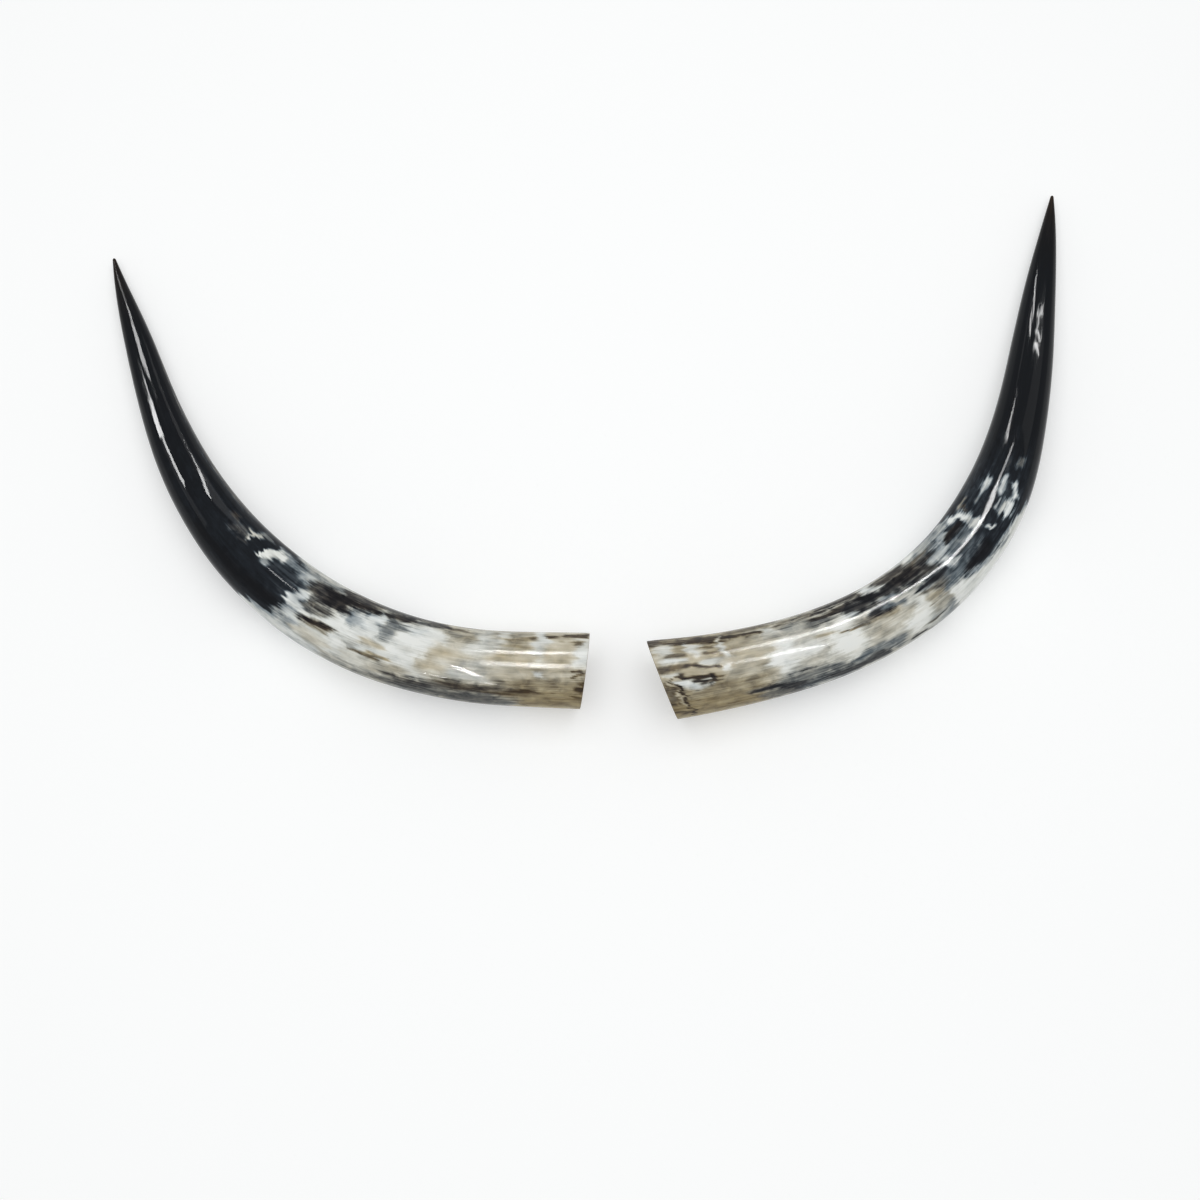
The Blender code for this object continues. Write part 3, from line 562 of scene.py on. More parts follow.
        (-0.9, 0.2, 0.8, 0.008, [(0.42, 0.45, 0.08), (0.45, 0.5, 0.15)]),
        (-0.25, 0.0, 0.85, 0.006, [(0.38, 0.35, 0.08), (0.4, 0.38, 0.08)]),
        # the cream outer side, cut off by a slanting line
        (0.8, 0.3, 0.75, 0.005, [(0.385, 0.8, 0.3), (0.4, 0.8, 0.25), (0.42, 0.87, 0.22),
                                 (0.45, 0.93, 0.18), (0.48, 0.95, 0.16), (0.51, 0.97, 0.14),
                                 (0.53, 1.02, 0.1), (0.54, 1.08, 0.06)]),
        (0.0, 0.0, 0.9, 0.005, [(0.42, 0.62, 0.06), (0.44, 0.7, 0.05)]),
        # the last pale flecks in the black
        (1.1, 0.2, 0.85, 0.008, [(0.46, -0.76, 0.08), (0.464, -0.64, 0.19), (0.47, -0.5, 0.14)]),
        (0.6, 0.25, 0.85, 0.004, [(0.465, -0.17, 0.12), (0.472, -0.15, 0.14)]),
        (0.2, 0.2, 0.85, 0.003, [(0.466, -0.34, 0.06), (0.47, -0.34, 0.06)]),
        (0.65, 0.2, 0.7, 0.0035, [(0.471, 0.2, 0.06), (0.474, 0.3, 0.1), (0.479, 0.38, 0.06)]),
        (0.5, 0.25, 0.9, 0.005, [(0.503, 0.3, 0.1), (0.515, 0.35, 0.1)]),
        (1.0, 0.2, 0.85, 0.006, [(0.503, 0.52, 0.09), (0.515, 0.55, 0.1)]),
        (0.3, 0.2, 0.75, 0.003, [(0.501, 0.1, 0.03), (0.512, 0.1, 0.02)]),
        (0.75, 0.15, 0.85, 0.005, [(0.53, 0.56, 0.1), (0.534, 0.45, 0.14)]),
        (0.6, 0.1, 0.9, 0.007, [(0.526, 0.03, 0.09), (0.543, 0.08, 0.08)]),
        (0.25, 0.1, 0.9, 0.007, [(0.519, -0.38, 0.09), (0.532, -0.38, 0.08)]),
        (-0.25, 0.2, 0.9, 0.005, [(0.497, -0.45, 0.05), (0.504, -0.42, 0.04)]),
        (-0.3, 0.6, 0.9, 0.006, [(0.485, -0.8, 0.06), (0.492, -0.75, 0.08)]),
        (-0.5, 0.6, 0.9, 0.004, [(0.482, -0.65, 0.1), (0.48, -0.6, 0.1)]),
        (-0.35, 0.3, 0.9, 0.006, [(0.566, 0.42, 0.1), (0.574, 0.4, 0.12)]),
        (-0.6, 0.2, 0.9, 0.006, [(0.56, 0.0, 0.1), (0.57, 0.02, 0.08)]),
    ],
}
# How the marks' edges wander: an amount, the lengths of the waves along and across the horn, their seed
# past the horn's own, and how many waves there are.
markEdges = {
    "wobbleAcross": (0.034, (0.045, 0.012, 0.012), 20, 9),
    "fineAcross": (0.011, (0.016, 0.0035, 0.0035), 21, 14),
    "wobbleAlong": (0.0042, (0.030, 0.010, 0.010), 22, 9),
    "feather": (0.0022, (0.12, 0.0042, 0.0042), 23, 16),   # single fibres carry a mark on past its end
    "clouds": (0.14, (0.024, 0.013, 0.013), 24, 14),       # lighter and darker clouds in the pale parts
    "cloudTones": (-0.5, 0.3),                             # tones where they begin to show and show in full
}


def paint(horn, marks, f, turn):
    # Tone and warmth at each point: the ground's values along the horn, then each mark laid over them
    # with a weight that falls off with the distance from its middle path, measured in half breadths
    # across and in end lengths along. The places are shaken by slow waves first, so edges wander, and
    # the pale parts are clouded at the end.
    grain = grainOf(horn, f, turn, hornForm["grainRadius"])

    def wander(name):
        amount, lengths, seed, count = markEdges[name]
        return waves(grain, lengths, horn["seed"] + seed, count) * amount

    v = placeAcross(horn, f, turn) + wander("wobbleAcross") + wander("fineAcross")
    along = f + wander("wobbleAlong") + wander("feather")
    edge = 0.0
    tone = smoothThrough(marks["ground"], np.clip(along, -0.03, 1))
    warmth = smoothThrough(marks["warmth"], np.clip(along, -0.03, 1))
    for markTone, markWarmth, softness, end, path in marks["marks"]:
        places, middles, halves = np.array(path).T
        nearest = np.clip(along, places[0], places[-1])
        middle = np.interp(nearest, places, middles)
        half = np.interp(nearest, places, halves)
        away = np.sqrt(((v - middle) / half) ** 2 + ((along - nearest) / end) ** 2)
        weight = smoothStep(1 + softness, 1 - softness, away)
        edge = edge * (1 - weight) + 4 * weight * (1 - weight) * np.abs(markTone - tone)
        tone = tone + (markTone - tone) * weight
        warmth = warmth + (markWarmth - warmth) * weight
    tone = tone + wander("clouds") * smoothStep(*markEdges["cloudTones"], tone)
    return tone, warmth, edge


def hornMesh(horn, marks):
    # One closed skin: the outside from the tip back to the base, the sawn rim with its two rounded
    # edges, and the hollow to its blunt end, with a single point at the tip and one in the hollow.
    turns = np.linspace(-math.pi, math.pi, hornForm["around"], endpoint=False)
    edge = hornForm["rimEdge"] / horn["length"]
    tipFrom = hornForm["tipFrom"]
    closing = np.sin(np.linspace(0, math.pi / 2, hornForm["tipRows"]))
    t = np.concatenate([np.linspace(0, tipFrom, hornForm["outerRows"], endpoint=False),
                        tipFrom + (1 - tipFrom) * closing])[:-1]
    outerStart = startFractions(horn, outerPoint, turns)
    first = outerStart + edge
    outerF = first + (1 - first) * t[::-1, None]
    turn = np.broadcast_to(turns, outerF.shape)
    outer = outerPoint(horn, outerF, turn)

    endF = horn["hollowLength"] / horn["length"]
    closesFrom = (horn["hollowLength"] - hornForm["hollowRounding"]) / horn["length"]
    hollowStart = startFractions(horn, hollowPoint, turns)
    firstIn = hollowStart + edge
    straight = firstIn + (closesFrom - firstIn) * np.linspace(0, 1, hornForm["hollowRows"],
                                                              endpoint=False)[:, None]
    bend = np.sin(np.linspace(0, math.pi / 2, hornForm["hollowEndRows"], endpoint=False))[:, None]
    hollowF = np.concatenate([straight, closesFrom + (endF - closesFrom) * bend + 0 * turns])
    turnIn = np.broadcast_to(turns, hollowF.shape)
    hollow = hollowPoint(horn, hollowF, turnIn)

    outerEdge = outerPoint(horn, outerStart, turns)
    innerEdge = hollowPoint(horn, hollowStart, turns)
    inward = unit(innerEdge - outerEdge)
    alongOuter = unit(outer[-1] - outerEdge)
    alongInner = unit(hollow[0] - innerEdge)
    quarter = np.linspace(0, math.pi / 2, hornForm["edgeRows"] + 1)[1:]
    radius = hornForm["rimEdge"]
    outerRound = roundedEdge(outerEdge, alongOuter, inward, radius, quarter)
    innerRound = roundedEdge(innerEdge, alongInner, -inward, radius, quarter)[::-1]
    across = np.linspace(0, 1, hornForm["rimRows"] + 1, endpoint=False)[1:, None, None]
    flat = outerRound[-1] + (innerRound[0] - outerRound[-1]) * across

    tip = outerPoint(horn, np.array([1.0]), np.array([0.0]))
    end = hollowPoint(horn, np.array([endF]), np.array([0.0]))
    rings = np.concatenate([outer, outerRound, flat, innerRound, hollow])
    count, around = rings.shape[:2]
    points = np.concatenate([rings.reshape(-1, 3), tip, end])

    ring, place = np.meshgrid(np.arange(count - 1), np.arange(around), indexing="ij")
    nextPlace = (place + 1) % around
    quads = np.stack([ring * around + place, ring * around + nextPlace,
                      (ring + 1) * around + nextPlace, (ring + 1) * around + place], -1).reshape(-1, 4)
    k = np.arange(around)
    tipFan = np.stack([np.full(around, count * around), (k + 1) % around, k], -1)
    last = (count - 1) * around
    endFan = np.stack([np.full(around, count * around + 1), last + k, last + (k + 1) % around], -1)
    corner = points[quads]
    volume = np.einsum("ij,ij->i", corner[:, 0], np.cross(corner[:, 1], corner[:, 2])).sum()
    volume += np.einsum("ij,ij->i", corner[:, 0], np.cross(corner[:, 2], corner[:, 3])).sum()
    if volume < 0:
        quads, tipFan, endFan = quads[:, ::-1], tipFan[:, ::-1], endFan[:, ::-1]

    mesh = bpy.data.meshes.new(horn["name"] + "_polished")
    mesh.from_pydata(points.tolist(), [], quads.tolist() + tipFan.tolist() + endFan.tolist())
    mesh.update()

    outsideRows = len(outer)
    rimEnd = outsideRows + len(outerRound) + len(flat)
    rimF = outerStart + 0 * rings[outsideRows:rimEnd + len(innerRound), :, 0]
    allF = np.concatenate([outerF, rimF, hollowF])
    allTurn = np.broadcast_to(turns, allF.shape)
    depthIn = np.concatenate([np.zeros(len(outer)), np.linspace(0, 1, len(rimF)), np.ones(len(hollow))])
    grainRadius = hornForm["grainRadius"] * (1 - hornForm["grainInset"] * depthIn)[:, None]
    grain = grainOf(horn, allF, allTurn, grainRadius).reshape(-1, 3)
    grain = np.concatenate([grain, [[horn["length"], 0, 0], [horn["hollowLength"], 0, 0]]])
    tone, warmth, blend = paint(horn, marks, allF, allTurn)
    dull = smoothThrough(marks["dull"], np.clip(allF, -0.03, 1))
    tone = np.concatenate([tone.ravel(), [tone[0].mean(), 0.0]])
    warmth = np.concatenate([warmth.ravel(), [warmth[0].mean(), 0.5]])
    addPointValue(mesh, "grain", "FLOAT_VECTOR", grain)
    addPointValue(mesh, "tone", "FLOAT", tone)
    addPointValue(mesh, "warmth", "FLOAT", warmth)
    addPointValue(mesh, "blend", "FLOAT", np.concatenate([blend.ravel(), [0.0, 0.0]]))
    addPointValue(mesh, "dull", "FLOAT", np.concatenate([dull.ravel(), [0.0, 0.0]]))

    rowMaterial = np.zeros(count - 1, int)
    rowMaterial[outsideRows + 1:rimEnd] = 1
    rowMaterial[rimEnd:] = 2
    faceMaterial = np.concatenate([np.repeat(rowMaterial, around), np.zeros(around, int),
                                   np.full(around, 2)])
    mesh.polygons.foreach_set("material_index", faceMaterial.astype(np.int32))
    mesh.polygons.foreach_set("use_smooth", np.ones(len(mesh.polygons), bool))
    return mesh


def addPointValue(mesh, name, kind, values):
    # One value, or one vector, at each point of the mesh, for the materials to read.
    layer = mesh.attributes.new(name, kind, "POINT")
    key = "vector" if kind == "FLOAT_VECTOR" else "value"
    layer.data.foreach_set(key, np.asarray(values, np.float32).ravel())


def newGroup(name, inputs, outputs):
    # A shader node group. inputs and outputs are (name, socket kind, default) and (name, socket kind).
    group = bpy.data.node_groups.new(name, "ShaderNodeTree")
    for label, kind, value in inputs:
        socket = group.interface.new_socket(label, in_out="INPUT", socket_type=kind)
        if value is not None:
            socket.default_value = value
    for label, kind in outputs:
        group.interface.new_socket(label, in_out="OUTPUT", socket_type=kind)
    return group, group.nodes.new("NodeGroupInput"), group.nodes.new("NodeGroupOutput")


def stretchedNoise(nodes, links, vector, scale, detail, roughness=0.5, distortion=0.0):
    # Noise drawn out along the grain: the first scale is along the horn, the second across it, per metre.
    stretch = nodes.new("ShaderNodeMapping")
    stretch.inputs["Scale"].default_value = (scale[0], scale[1], scale[1])
    noise = nodes.new("ShaderNodeTexNoise")
    noise.inputs["Scale"].default_value = 1.0
    noise.inputs["Detail"].default_value = detail
    noise.inputs["Roughness"].default_value = roughness
    noise.inputs["Distortion"].default_value = distortion
    links.new(vector, stretch.inputs["Vector"])
    links.new(stretch.outputs["Vector"], noise.inputs["Vector"])
    return noise.outputs["Fac"]


def mathNode(nodes, links, kind, a, b, clamp=False):
    # a and b are numbers or other nodes' outputs.
    node = nodes.new("ShaderNodeMath")
    node.operation = kind
    node.use_clamp = clamp
    for socket, value in zip(node.inputs, (a, b)):
        if isinstance(value, (int, float)):
            socket.default_value = value
        else:
            links.new(value, socket)
    return node.outputs[0]


def rescale(nodes, links, value, fromLow, fromHigh, toLow, toHigh):
    # The straight line from (fromLow, toLow) to (fromHigh, toHigh), level before and after it.
    node = nodes.new("ShaderNodeMapRange")
    for socket, number in zip(node.inputs[1:5], (fromLow, fromHigh, toLow, toHigh)):
        socket.default_value = number
    links.new(value, node.inputs[0])
    return node.outputs[0]


def colourRamp(nodes, links, value, stops):
    # A colour that runs through the stops, which are (place from 0 to 1, screen colour).
    ramp = nodes.new("ShaderNodeValToRGB")
    elements = ramp.color_ramp.elements
    while len(elements) < len(stops):
        elements.new(0.5)
    for element, (place, colour) in zip(elements, stops):
        element.position = place
        element.color = srgb(*colour)
    links.new(value, ramp.inputs["Fac"])
    return ramp.outputs["Color"]


def mixColour(nodes, links, factor, a, b):
    # Colour a where factor is 0, colour b where it is 1.
    mix = nodes.new("ShaderNodeMix")
    mix.data_type = "RGBA"
    for socket, value in zip((mix.inputs[0], mix.inputs[6], mix.inputs[7]), (factor, a, b)):
        links.new(value, socket)
    return mix.outputs[2]


hornColours = {
    # places are (tone + 1) / 2
    "cool": [(0.0, (29, 31, 34)), (0.10, (38, 42, 47)), (0.22, (64, 71, 77)), (0.34, (102, 112, 118)),
             (0.46, (141, 150, 155)), (0.60, (174, 181, 183)), (0.76, (208, 214, 214)),
             (1.0, (236, 240, 239))],
    "warm": [(0.0, (32, 29, 28)), (0.10, (44, 36, 31)), (0.22, (78, 64, 45)), (0.34, (116, 101, 73)),
             (0.46, (158, 145, 113)), (0.60, (193, 181, 152)), (0.76, (216, 208, 186)),
             (1.0, (238, 236, 226))],
    # noises: scale along and across the grain, detail, roughness and distortion, and how much tone
    "streaks": ((13.0, 240.0), 4.0, 0.6, 0.4, 0.40),
    "fine": ((42.0, 780.0), 3.0, 0.6, 0.0, 0.30),
    "mottle": ((85.0, 150.0), 4.0, 0.55, 0.6, 0.42),
    "mottleWarmth": 0.5,      # how much the mottling moves the warmth
    "edgeGain": 1.5,          # how much more the streaks shake where one marking blends into another
    "calmInBlack": 0.30,      # how much of the shaking is left where the horn is solid black
    "blackTones": (-1.0, -0.55),
    "calmInBrown": 0.62,      # the same in the clear brown parts, which look smoother
    "brownWarmths": (0.55, 0.85),
}


def grainGroup():
    # Shakes tone and warmth by streaks and mottling that follow the grain, less where the horn is black.
    group, entry, leave = newGroup(
        "hornGrain",
        [("Grain", "NodeSocketVector", None), ("Tone", "NodeSocketFloat", 0.0),
         ("Warmth", "NodeSocketFloat", 0.5), ("Blend", "NodeSocketFloat", 0.0)],
        [("Tone", "NodeSocketFloat"), ("Warmth", "NodeSocketFloat"), ("Streaks", "NodeSocketFloat")])
    nodes, links = group.nodes, group.links
    grain = entry.outputs["Grain"]
    noises = {}
    shake = 0.0
    for name in ("streaks", "fine", "mottle"):
        scale, detail, roughness, distortion, amount = hornColours[name]
        noises[name] = stretchedNoise(nodes, links, grain, scale, detail, roughness, distortion)
        centred = mathNode(nodes, links, "SUBTRACT", noises[name], 0.5)
        part = mathNode(nodes, links, "MULTIPLY", centred, 2 * amount)
        shake = mathNode(nodes, links, "ADD", part, shake)
    calm = rescale(nodes, links, entry.outputs["Tone"], *hornColours["blackTones"],
                   hornColours["calmInBlack"], 1.0)
    brown = rescale(nodes, links, entry.outputs["Warmth"], *hornColours["brownWarmths"],
                    1.0, hornColours["calmInBrown"])
    calm = mathNode(nodes, links, "MULTIPLY", calm, brown)
    blend = mathNode(nodes, links, "MULTIPLY", entry.outputs["Blend"], hornColours["edgeGain"])
    shaken = mathNode(nodes, links, "MULTIPLY", shake, mathNode(nodes, links, "ADD", calm, blend))
    tone = mathNode(nodes, links, "ADD", entry.outputs["Tone"], shaken)
    warmShake = mathNode(nodes, links, "MULTIPLY",
                         mathNode(nodes, links, "SUBTRACT", noises["mottle"], 0.5),
                         hornColours["mottleWarmth"])
    warmth = mathNode(nodes, links, "ADD", entry.outputs["Warmth"], warmShake, clamp=True)
    links.new(tone, leave.inputs["Tone"])
    links.new(warmth, leave.inputs["Warmth"])
    links.new(noises["streaks"], leave.inputs["Streaks"])
    return group


def newMaterial(name):
    # A new material, its nodes and links, and its plain shader.
    material = bpy.data.materials.new(name)
    material.use_nodes = True
    nodes, links = material.node_tree.nodes, material.node_tree.links
    return material, nodes, links, nodes["Principled BSDF"]


def readAttribute(nodes, name, output):
    # A value that the mesh holds at its points.
    node = nodes.new("ShaderNodeAttribute")
    node.attribute_name = name
    return node.outputs[output]


polish = {
    "roughness": (0.07, 0.11),
    "streakRange": (0.3, 0.7),   # streak values that give the first and the second roughness
    "dullness": 0.30,            # roughness added where the polish has worn off
    "specular": 0.055,
    "bumpHeight": 0.000012,
    "bumpNoise": ((30.0, 120.0), 2.0),          # scale along and across the grain, and detail
    "scratchHeight": 0.000006,
    "scratchNoise": ((160.0, 1500.0), 3.0),
}


def polishedHorn(grainNodes):
    # Polished horn: its own markings under a clear even gloss, with slow waves and hair scratches.
    material, nodes, links, shader = newMaterial("polishedHorn")
    group = nodes.new("ShaderNodeGroup")
    group.node_tree = grainNodes
    grain = readAttribute(nodes, "grain", "Vector")
    links.new(grain, group.inputs["Grain"])
    links.new(readAttribute(nodes, "tone", "Fac"), group.inputs["Tone"])
    links.new(readAttribute(nodes, "warmth", "Fac"), group.inputs["Warmth"])
    links.new(readAttribute(nodes, "blend", "Fac"), group.inputs["Blend"])
    place = rescale(nodes, links, group.outputs["Tone"], -1.0, 1.0, 0.0, 1.0)
    cool = colourRamp(nodes, links, place, hornColours["cool"])
    warm = colourRamp(nodes, links, place, hornColours["warm"])
    links.new(mixColour(nodes, links, group.outputs["Warmth"], cool, warm), shader.inputs["Base Color"])
    gloss = rescale(nodes, links, group.outputs["Streaks"], *polish["streakRange"], *polish["roughness"])
    worn = mathNode(nodes, links, "MULTIPLY", readAttribute(nodes, "dull", "Fac"), polish["dullness"])
    links.new(mathNode(nodes, links, "ADD", gloss, worn), shader.inputs["Roughness"])
    shader.inputs["Specular IOR Level"].default_value = polish["specular"]

    slow = stretchedNoise(nodes, links, grain, *polish["bumpNoise"])
    hair = stretchedNoise(nodes, links, grain, *polish["scratchNoise"])
    height = mathNode(nodes, links, "MULTIPLY", slow, polish["bumpHeight"])
    height = mathNode(nodes, links, "ADD", height,
                      mathNode(nodes, links, "MULTIPLY", hair, polish["scratchHeight"]))
    bump = nodes.new("ShaderNodeBump")
    bump.inputs["Distance"].default_value = 1.0
    bump.inputs["Strength"].default_value = 1.0
    links.new(height, bump.inputs["Height"])
    links.new(bump.outputs["Normal"], shader.inputs["Normal"])
    return material


sawnHorn = {
    "name": "sawnHorn",
    "colours": [(0.32, (96, 84, 66)), (0.66, (168, 152, 124))],
    "fibreScale": (400.0, 900.0),
    "roughness": 0.6,
    "fibreHeight": 0.0003,
}
hollowHorn = {
    "name": "hollowHorn",
    "colours": [(0.32, (104, 88, 64)), (0.66, (182, 164, 132))],
    "fibreScale": (25.0, 420.0),
    "roughness": 0.75,
    "fibreHeight": 0.0006,
}
fibrous = {
    "fibreDetail": (5.0, 0.65),               # detail and roughness of the noise
    "blotchNoise": ((30.0, 60.0), 3.0),
    "blotchShare": 0.35,                      # how much of the colour the blotches make
    "specular": 0.3,
}


def fibrousHorn(face):
    # Horn as the saw or the hollow leaves it: matt, with fibres that run the way of the grain.
    material, nodes, links, shader = newMaterial(face["name"])
    grain = readAttribute(nodes, "grain", "Vector")
    fibres = stretchedNoise(nodes, links, grain, face["fibreScale"], *fibrous["fibreDetail"])
    blotches = stretchedNoise(nodes, links, grain, *fibrous["blotchNoise"])
    share = fibrous["blotchShare"]
    mixed = mathNode(nodes, links, "ADD", mathNode(nodes, links, "MULTIPLY", fibres, 1 - share),
                     mathNode(nodes, links, "MULTIPLY", blotches, share))
    links.new(colourRamp(nodes, links, mixed, face["colours"]), shader.inputs["Base Color"])
    shader.inputs["Roughness"].default_value = face["roughness"]
    shader.inputs["Specular IOR Level"].default_value = fibrous["specular"]
    bump = nodes.new("ShaderNodeBump")
    bump.inputs["Distance"].default_value = face["fibreHeight"]
    links.new(fibres, bump.inputs["Height"])
    links.new(bump.outputs["Normal"], shader.inputs["Normal"])
    return material


def makeHorn(horn, marks, materials):
    # One horn with its outside, sawn rim and hollow, in place of the solid of the same name.
    mesh = hornMesh(horn, marks)
    for material in materials:
        mesh.materials.append(material)
    piece = bpy.data.objects.new(horn["name"] + "_polished", mesh)
    bpy.context.scene.collection.objects.link(piece)
    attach(piece, "root")
    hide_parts(horn["name"])
    print(horn["name"], "made,", len(mesh.polygons), "faces")
    return piece


def makeFloor():
    # A plain pale sheet for the horns to lie on.
    half = studio["floorSize"] / 2
    mesh = bpy.data.meshes.new("floor")
    corners = [(-half, -half, 0), (half, -half, 0), (half, half, 0), (-half, half, 0)]
    mesh.from_pydata(corners, [], [(0, 1, 2, 3)])
    floor = bpy.data.objects.new("floor", mesh)
    material, _, _, shader = newMaterial("paleFloor")
    colour = srgb(*studio["floorColour"])
    shader.inputs["Base Color"].default_value = colour
    shader.inputs["Roughness"].default_value = studio["floorRoughness"]
    shader.inputs["Specular IOR Level"].default_value = 0.0
    shader.inputs["Emission Color"].default_value = colour
    shader.inputs["Emission Strength"].default_value = studio["floorGlow"]
    mesh.materials.append(material)
    bpy.context.scene.collection.objects.link(floor)


def makeWorld():
    # Plain light from all round for matt surfaces, and a dimmer surrounding for mirrored rays.
    world = bpy.data.worlds.new("studio")
    world.use_nodes = True
    nodes, links = world.node_tree.nodes, world.node_tree.links
    ray = nodes.new("ShaderNodeLightPath")
    direction = nodes.new("ShaderNodeTexCoord")
    height = nodes.new("ShaderNodeSeparateXYZ")
    links.new(direction.outputs["Generated"], height.inputs[0])
    low = studio["skyForGloss"] - studio["skyForFloor"]
    high = studio["horizonForGloss"] - studio["skyForFloor"]
    mirrored = rescale(nodes, links, height.outputs["Z"], 0.0, studio["horizonTop"], high, low)
    level = mathNode(nodes, links, "MULTIPLY", ray.outputs["Is Glossy Ray"], mirrored)
    level = mathNode(nodes, links, "ADD", level, studio["skyForFloor"])
    level = mathNode(nodes, links, "ADD", level,
                     mathNode(nodes, links, "MULTIPLY", ray.outputs["Is Camera Ray"],
                              studio["skyForCamera"] - studio["skyForFloor"]))
    background = nodes["Background"]
    background.inputs["Color"].default_value = (1, 1, 1, 1)
    links.new(level, background.inputs["Strength"])
    bpy.context.scene.world = world


# Each horn's highlights: the places on it where one starts and ends, (fraction, place across), and then
# the height, width and glow of the lamp that it mirrors.
highlights = {
    "left_horn": [
        ((0.010, -0.45), (0.135, -0.45), 1.00, 0.290, 92.0),
        ((0.014, -0.12), (0.127, -0.12), 1.00, 0.215, 88.0),
        ((0.133, 0.26), (0.166, 0.07), 0.22, 0.018, 170.0),
        ((0.175, 0.42), (0.21, 0.42), 0.22, 0.030, 60.0),
        ((0.112, 0.44), (0.13, 0.40), 0.22, 0.014, 69.0),
        ((0.40, -0.17), (0.45, -0.17), 1.50, 0.070, 50.0),
        ((0.583, -0.21), (0.623, -0.36), 0.22, 0.014, 112.0),
        ((0.613, -0.37), (0.658, -0.43), 0.22, 0.012, 98.0),
        ((0.618, 0.31), (0.70, 0.33), 0.22, 0.050, 101.0),
        ((0.697, 0.37), (0.762, 0.38), 0.22, 0.150, 136.0),
        ((0.762, 0.33), (0.797, 0.32), 0.22, 0.026, 100.0),
        ((0.803, 0.09), (0.883, 0.03), 0.22, 0.085, 84.0),
        ((0.885, 0.03), (0.917, 0.0), 0.22, 0.060, 67.0),
        ((0.927, 0.01), (0.977, 0.30), 0.22, 0.028, 36.0),
    ],
    "right_horn": [
        ((0.064, -0.48), (0.18, -0.42), 0.22, 0.046, 66.0),
        ((0.18, -0.42), (0.30, -0.32), 0.22, 0.032, 80.0),
        ((0.297, -0.31), (0.408, -0.09), 0.22, 0.017, 130.0),
        ((0.405, -0.09), (0.479, 0.02), 0.45, 0.060, 132.0),
        ((0.475, 0.0), (0.53, -0.12), 1.00, 0.130, 136.0),
        ((0.53, -0.11), (0.595, -0.02), 0.22, 0.022, 60.0),
        ((0.083, -0.18), (0.16, -0.10), 0.45, 0.052, 70.0),
        ((0.157, -0.09), (0.216, 0.02), 0.30, 0.020, 81.0),
        ((0.60, -0.24), (0.648, -0.36), 0.22, 0.007, 120.0),
        ((0.767, -0.16), (0.798, -0.28), 0.22, 0.010, 148.0),
        ((0.795, -0.14), (0.864, -0.37), 0.22, 0.011, 136.0),
        ((0.737, 0.33), (0.751, 0.05), 0.22, 0.007, 190.0),
        ((0.757, 0.33), (0.773, 0.05), 0.22, 0.008, 165.0),
        ((0.759, 0.35), (0.771, 0.35), 0.22, 0.012, 150.0),
        ((0.788, 0.12), (0.789, 0.18), 0.22, 0.006, 170.0),
        ((0.799, 0.03), (0.802, 0.09), 0.22, 0.008, 190.0),
        ((0.797, 0.10), (0.802, 0.34), 0.22, 0.006, 170.0),
    ],
}
# Wider and far dimmer lamps, for the faint sheen on each black half: (from x, y), (to x, y), height,
# width and glow.
sheenLamps = {
    "left_horn": [
        ((-0.335, 0.070), (-0.295, 0.440), 0.22, 0.090, 3.4),
        ((-0.620, -0.100), (-0.730, 0.200), 0.22, 0.120, 2.0),
    ],
    "right_horn": [
        ((0.600, 0.100), (0.680, 0.320), 0.22, 0.200, 1.6),
        ((0.250, 0.360), (0.250, 0.500), 0.22, 0.050, 3.0),
    ],
}


def mirroredAt(horn, place, height):
    # Where the camera's ray goes that the smooth horn throws back at a place on it: the ray less twice
    # its part along the surface's normal, followed up to the given height.
    smooth = dict(horn, waviness=0.0, ridgeHeight=0.0, groove=None)
    f, step = np.array([place[0]]), hornForm["slopeStep"]
    turn = np.arcsin(place[1]) + leanToEye(smooth, f)
    point = outerPoint(smooth, f, turn)[0]
    along = outerPoint(smooth, f + step, turn) - outerPoint(smooth, f - step, turn)
    around = outerPoint(smooth, f, turn + step) - outerPoint(smooth, f, turn - step)
    normal = unit(np.cross(along, around))[0]
    ray = unit(point - np.array(studio["seenFrom"]))
    back = ray - 2 * (ray @ normal) * normal
    return point + back * (height - point[2]) / back[2]


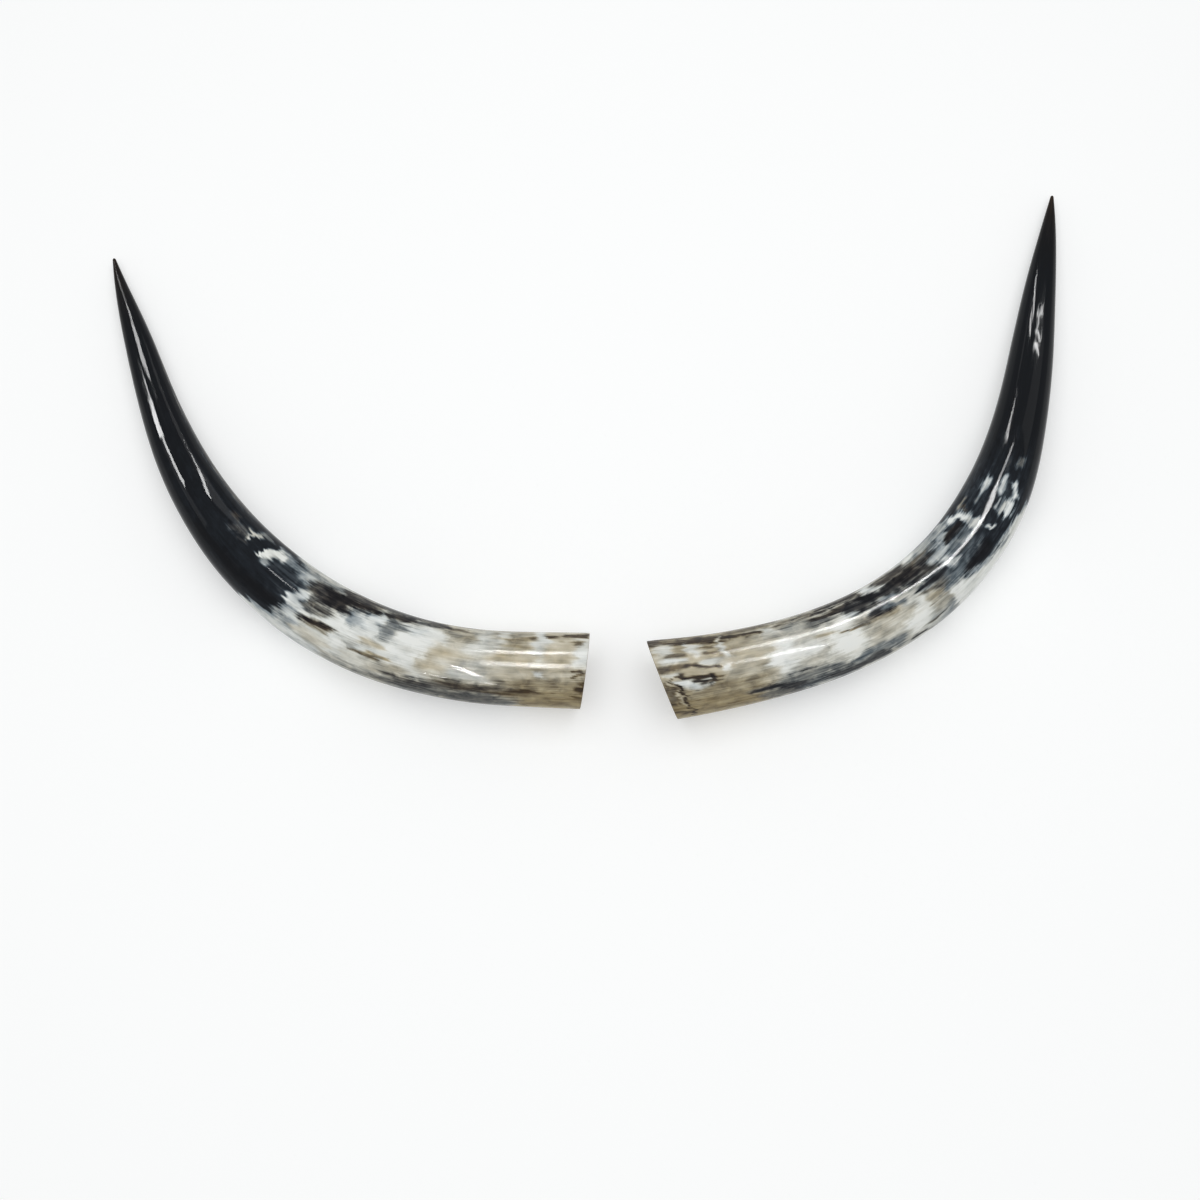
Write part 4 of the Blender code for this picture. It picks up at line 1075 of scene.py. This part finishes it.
def addLamp(name, start, end, width, glow):
    # A level lamp from start to end, facing straight down. Its power is its glow times pi times its area.
    start, end = Vector(start), Vector(end)
    lamp = bpy.data.lights.new(name, "AREA")
    lamp.shape = "RECTANGLE"
    lamp.size, lamp.size_y = (end - start).length, width
    lamp.energy = glow * math.pi * lamp.size * width
    holder = bpy.data.objects.new(name, lamp)
    holder.location = (start + end) / 2
    holder.rotation_euler = (0, 0, math.atan2(end.y - start.y, end.x - start.x))
    bpy.context.scene.collection.objects.link(holder)
    holder.visible_camera = False
    return holder


def makeLights(pieces):
    # A soft lamp overhead for matt surfaces, and each horn's own lamps for its gloss alone.
    half = studio["overheadSize"] / 2
    height = studio["overheadHeight"]
    soft = addLamp("overhead", (-half, 0, height), (half, 0, height), 2 * half, studio["overheadGlow"])
    soft.visible_glossy = False
    for horn in (leftHorn, rightHorn):
        name = horn["name"]
        own = bpy.data.collections.new(name + "_lit")
        own.objects.link(pieces[name])
        lamps = [(mirroredAt(horn, start, height), mirroredAt(horn, end, height), width, glow)
                 for start, end, height, width, glow in highlights[name]]
        lamps += [((*start, height), (*end, height), width, glow)
                  for start, end, height, width, glow in sheenLamps[name]]
        for k, (start, end, width, glow) in enumerate(lamps):
            strip = addLamp(name + "_strip" + str(k + 1), start, end, width, glow)
            strip.visible_diffuse = False
            strip.light_linking.receiver_collection = own


def makeCamera():
    # Looks down at the pair, leaning off straight down towards the tips.
    camera = bpy.data.cameras.new("camera")
    camera.lens = studio["lens"]
    camera.sensor_width = studio["sensor"]
    holder = bpy.data.objects.new("camera", camera)
    holder.location = studio["seenFrom"]
    holder.rotation_euler = (math.radians(studio["lookTilt"]), 0, 0)
    bpy.context.scene.collection.objects.link(holder)
    bpy.context.scene.camera = holder


bpy.context.scene.view_settings.view_transform = "Standard"
grainNodes = grainGroup()
hornMaterials = [polishedHorn(grainNodes), fibrousHorn(sawnHorn), fibrousHorn(hollowHorn)]
print("materials made")
pieces = {}
for horn, marks in ((leftHorn, leftMarks), (rightHorn, rightMarks)):
    pieces[horn["name"]] = makeHorn(horn, marks, hornMaterials)
makeFloor()
makeWorld()
makeLights(pieces)
print("floor and lights placed")
makeCamera()
print("studio set")
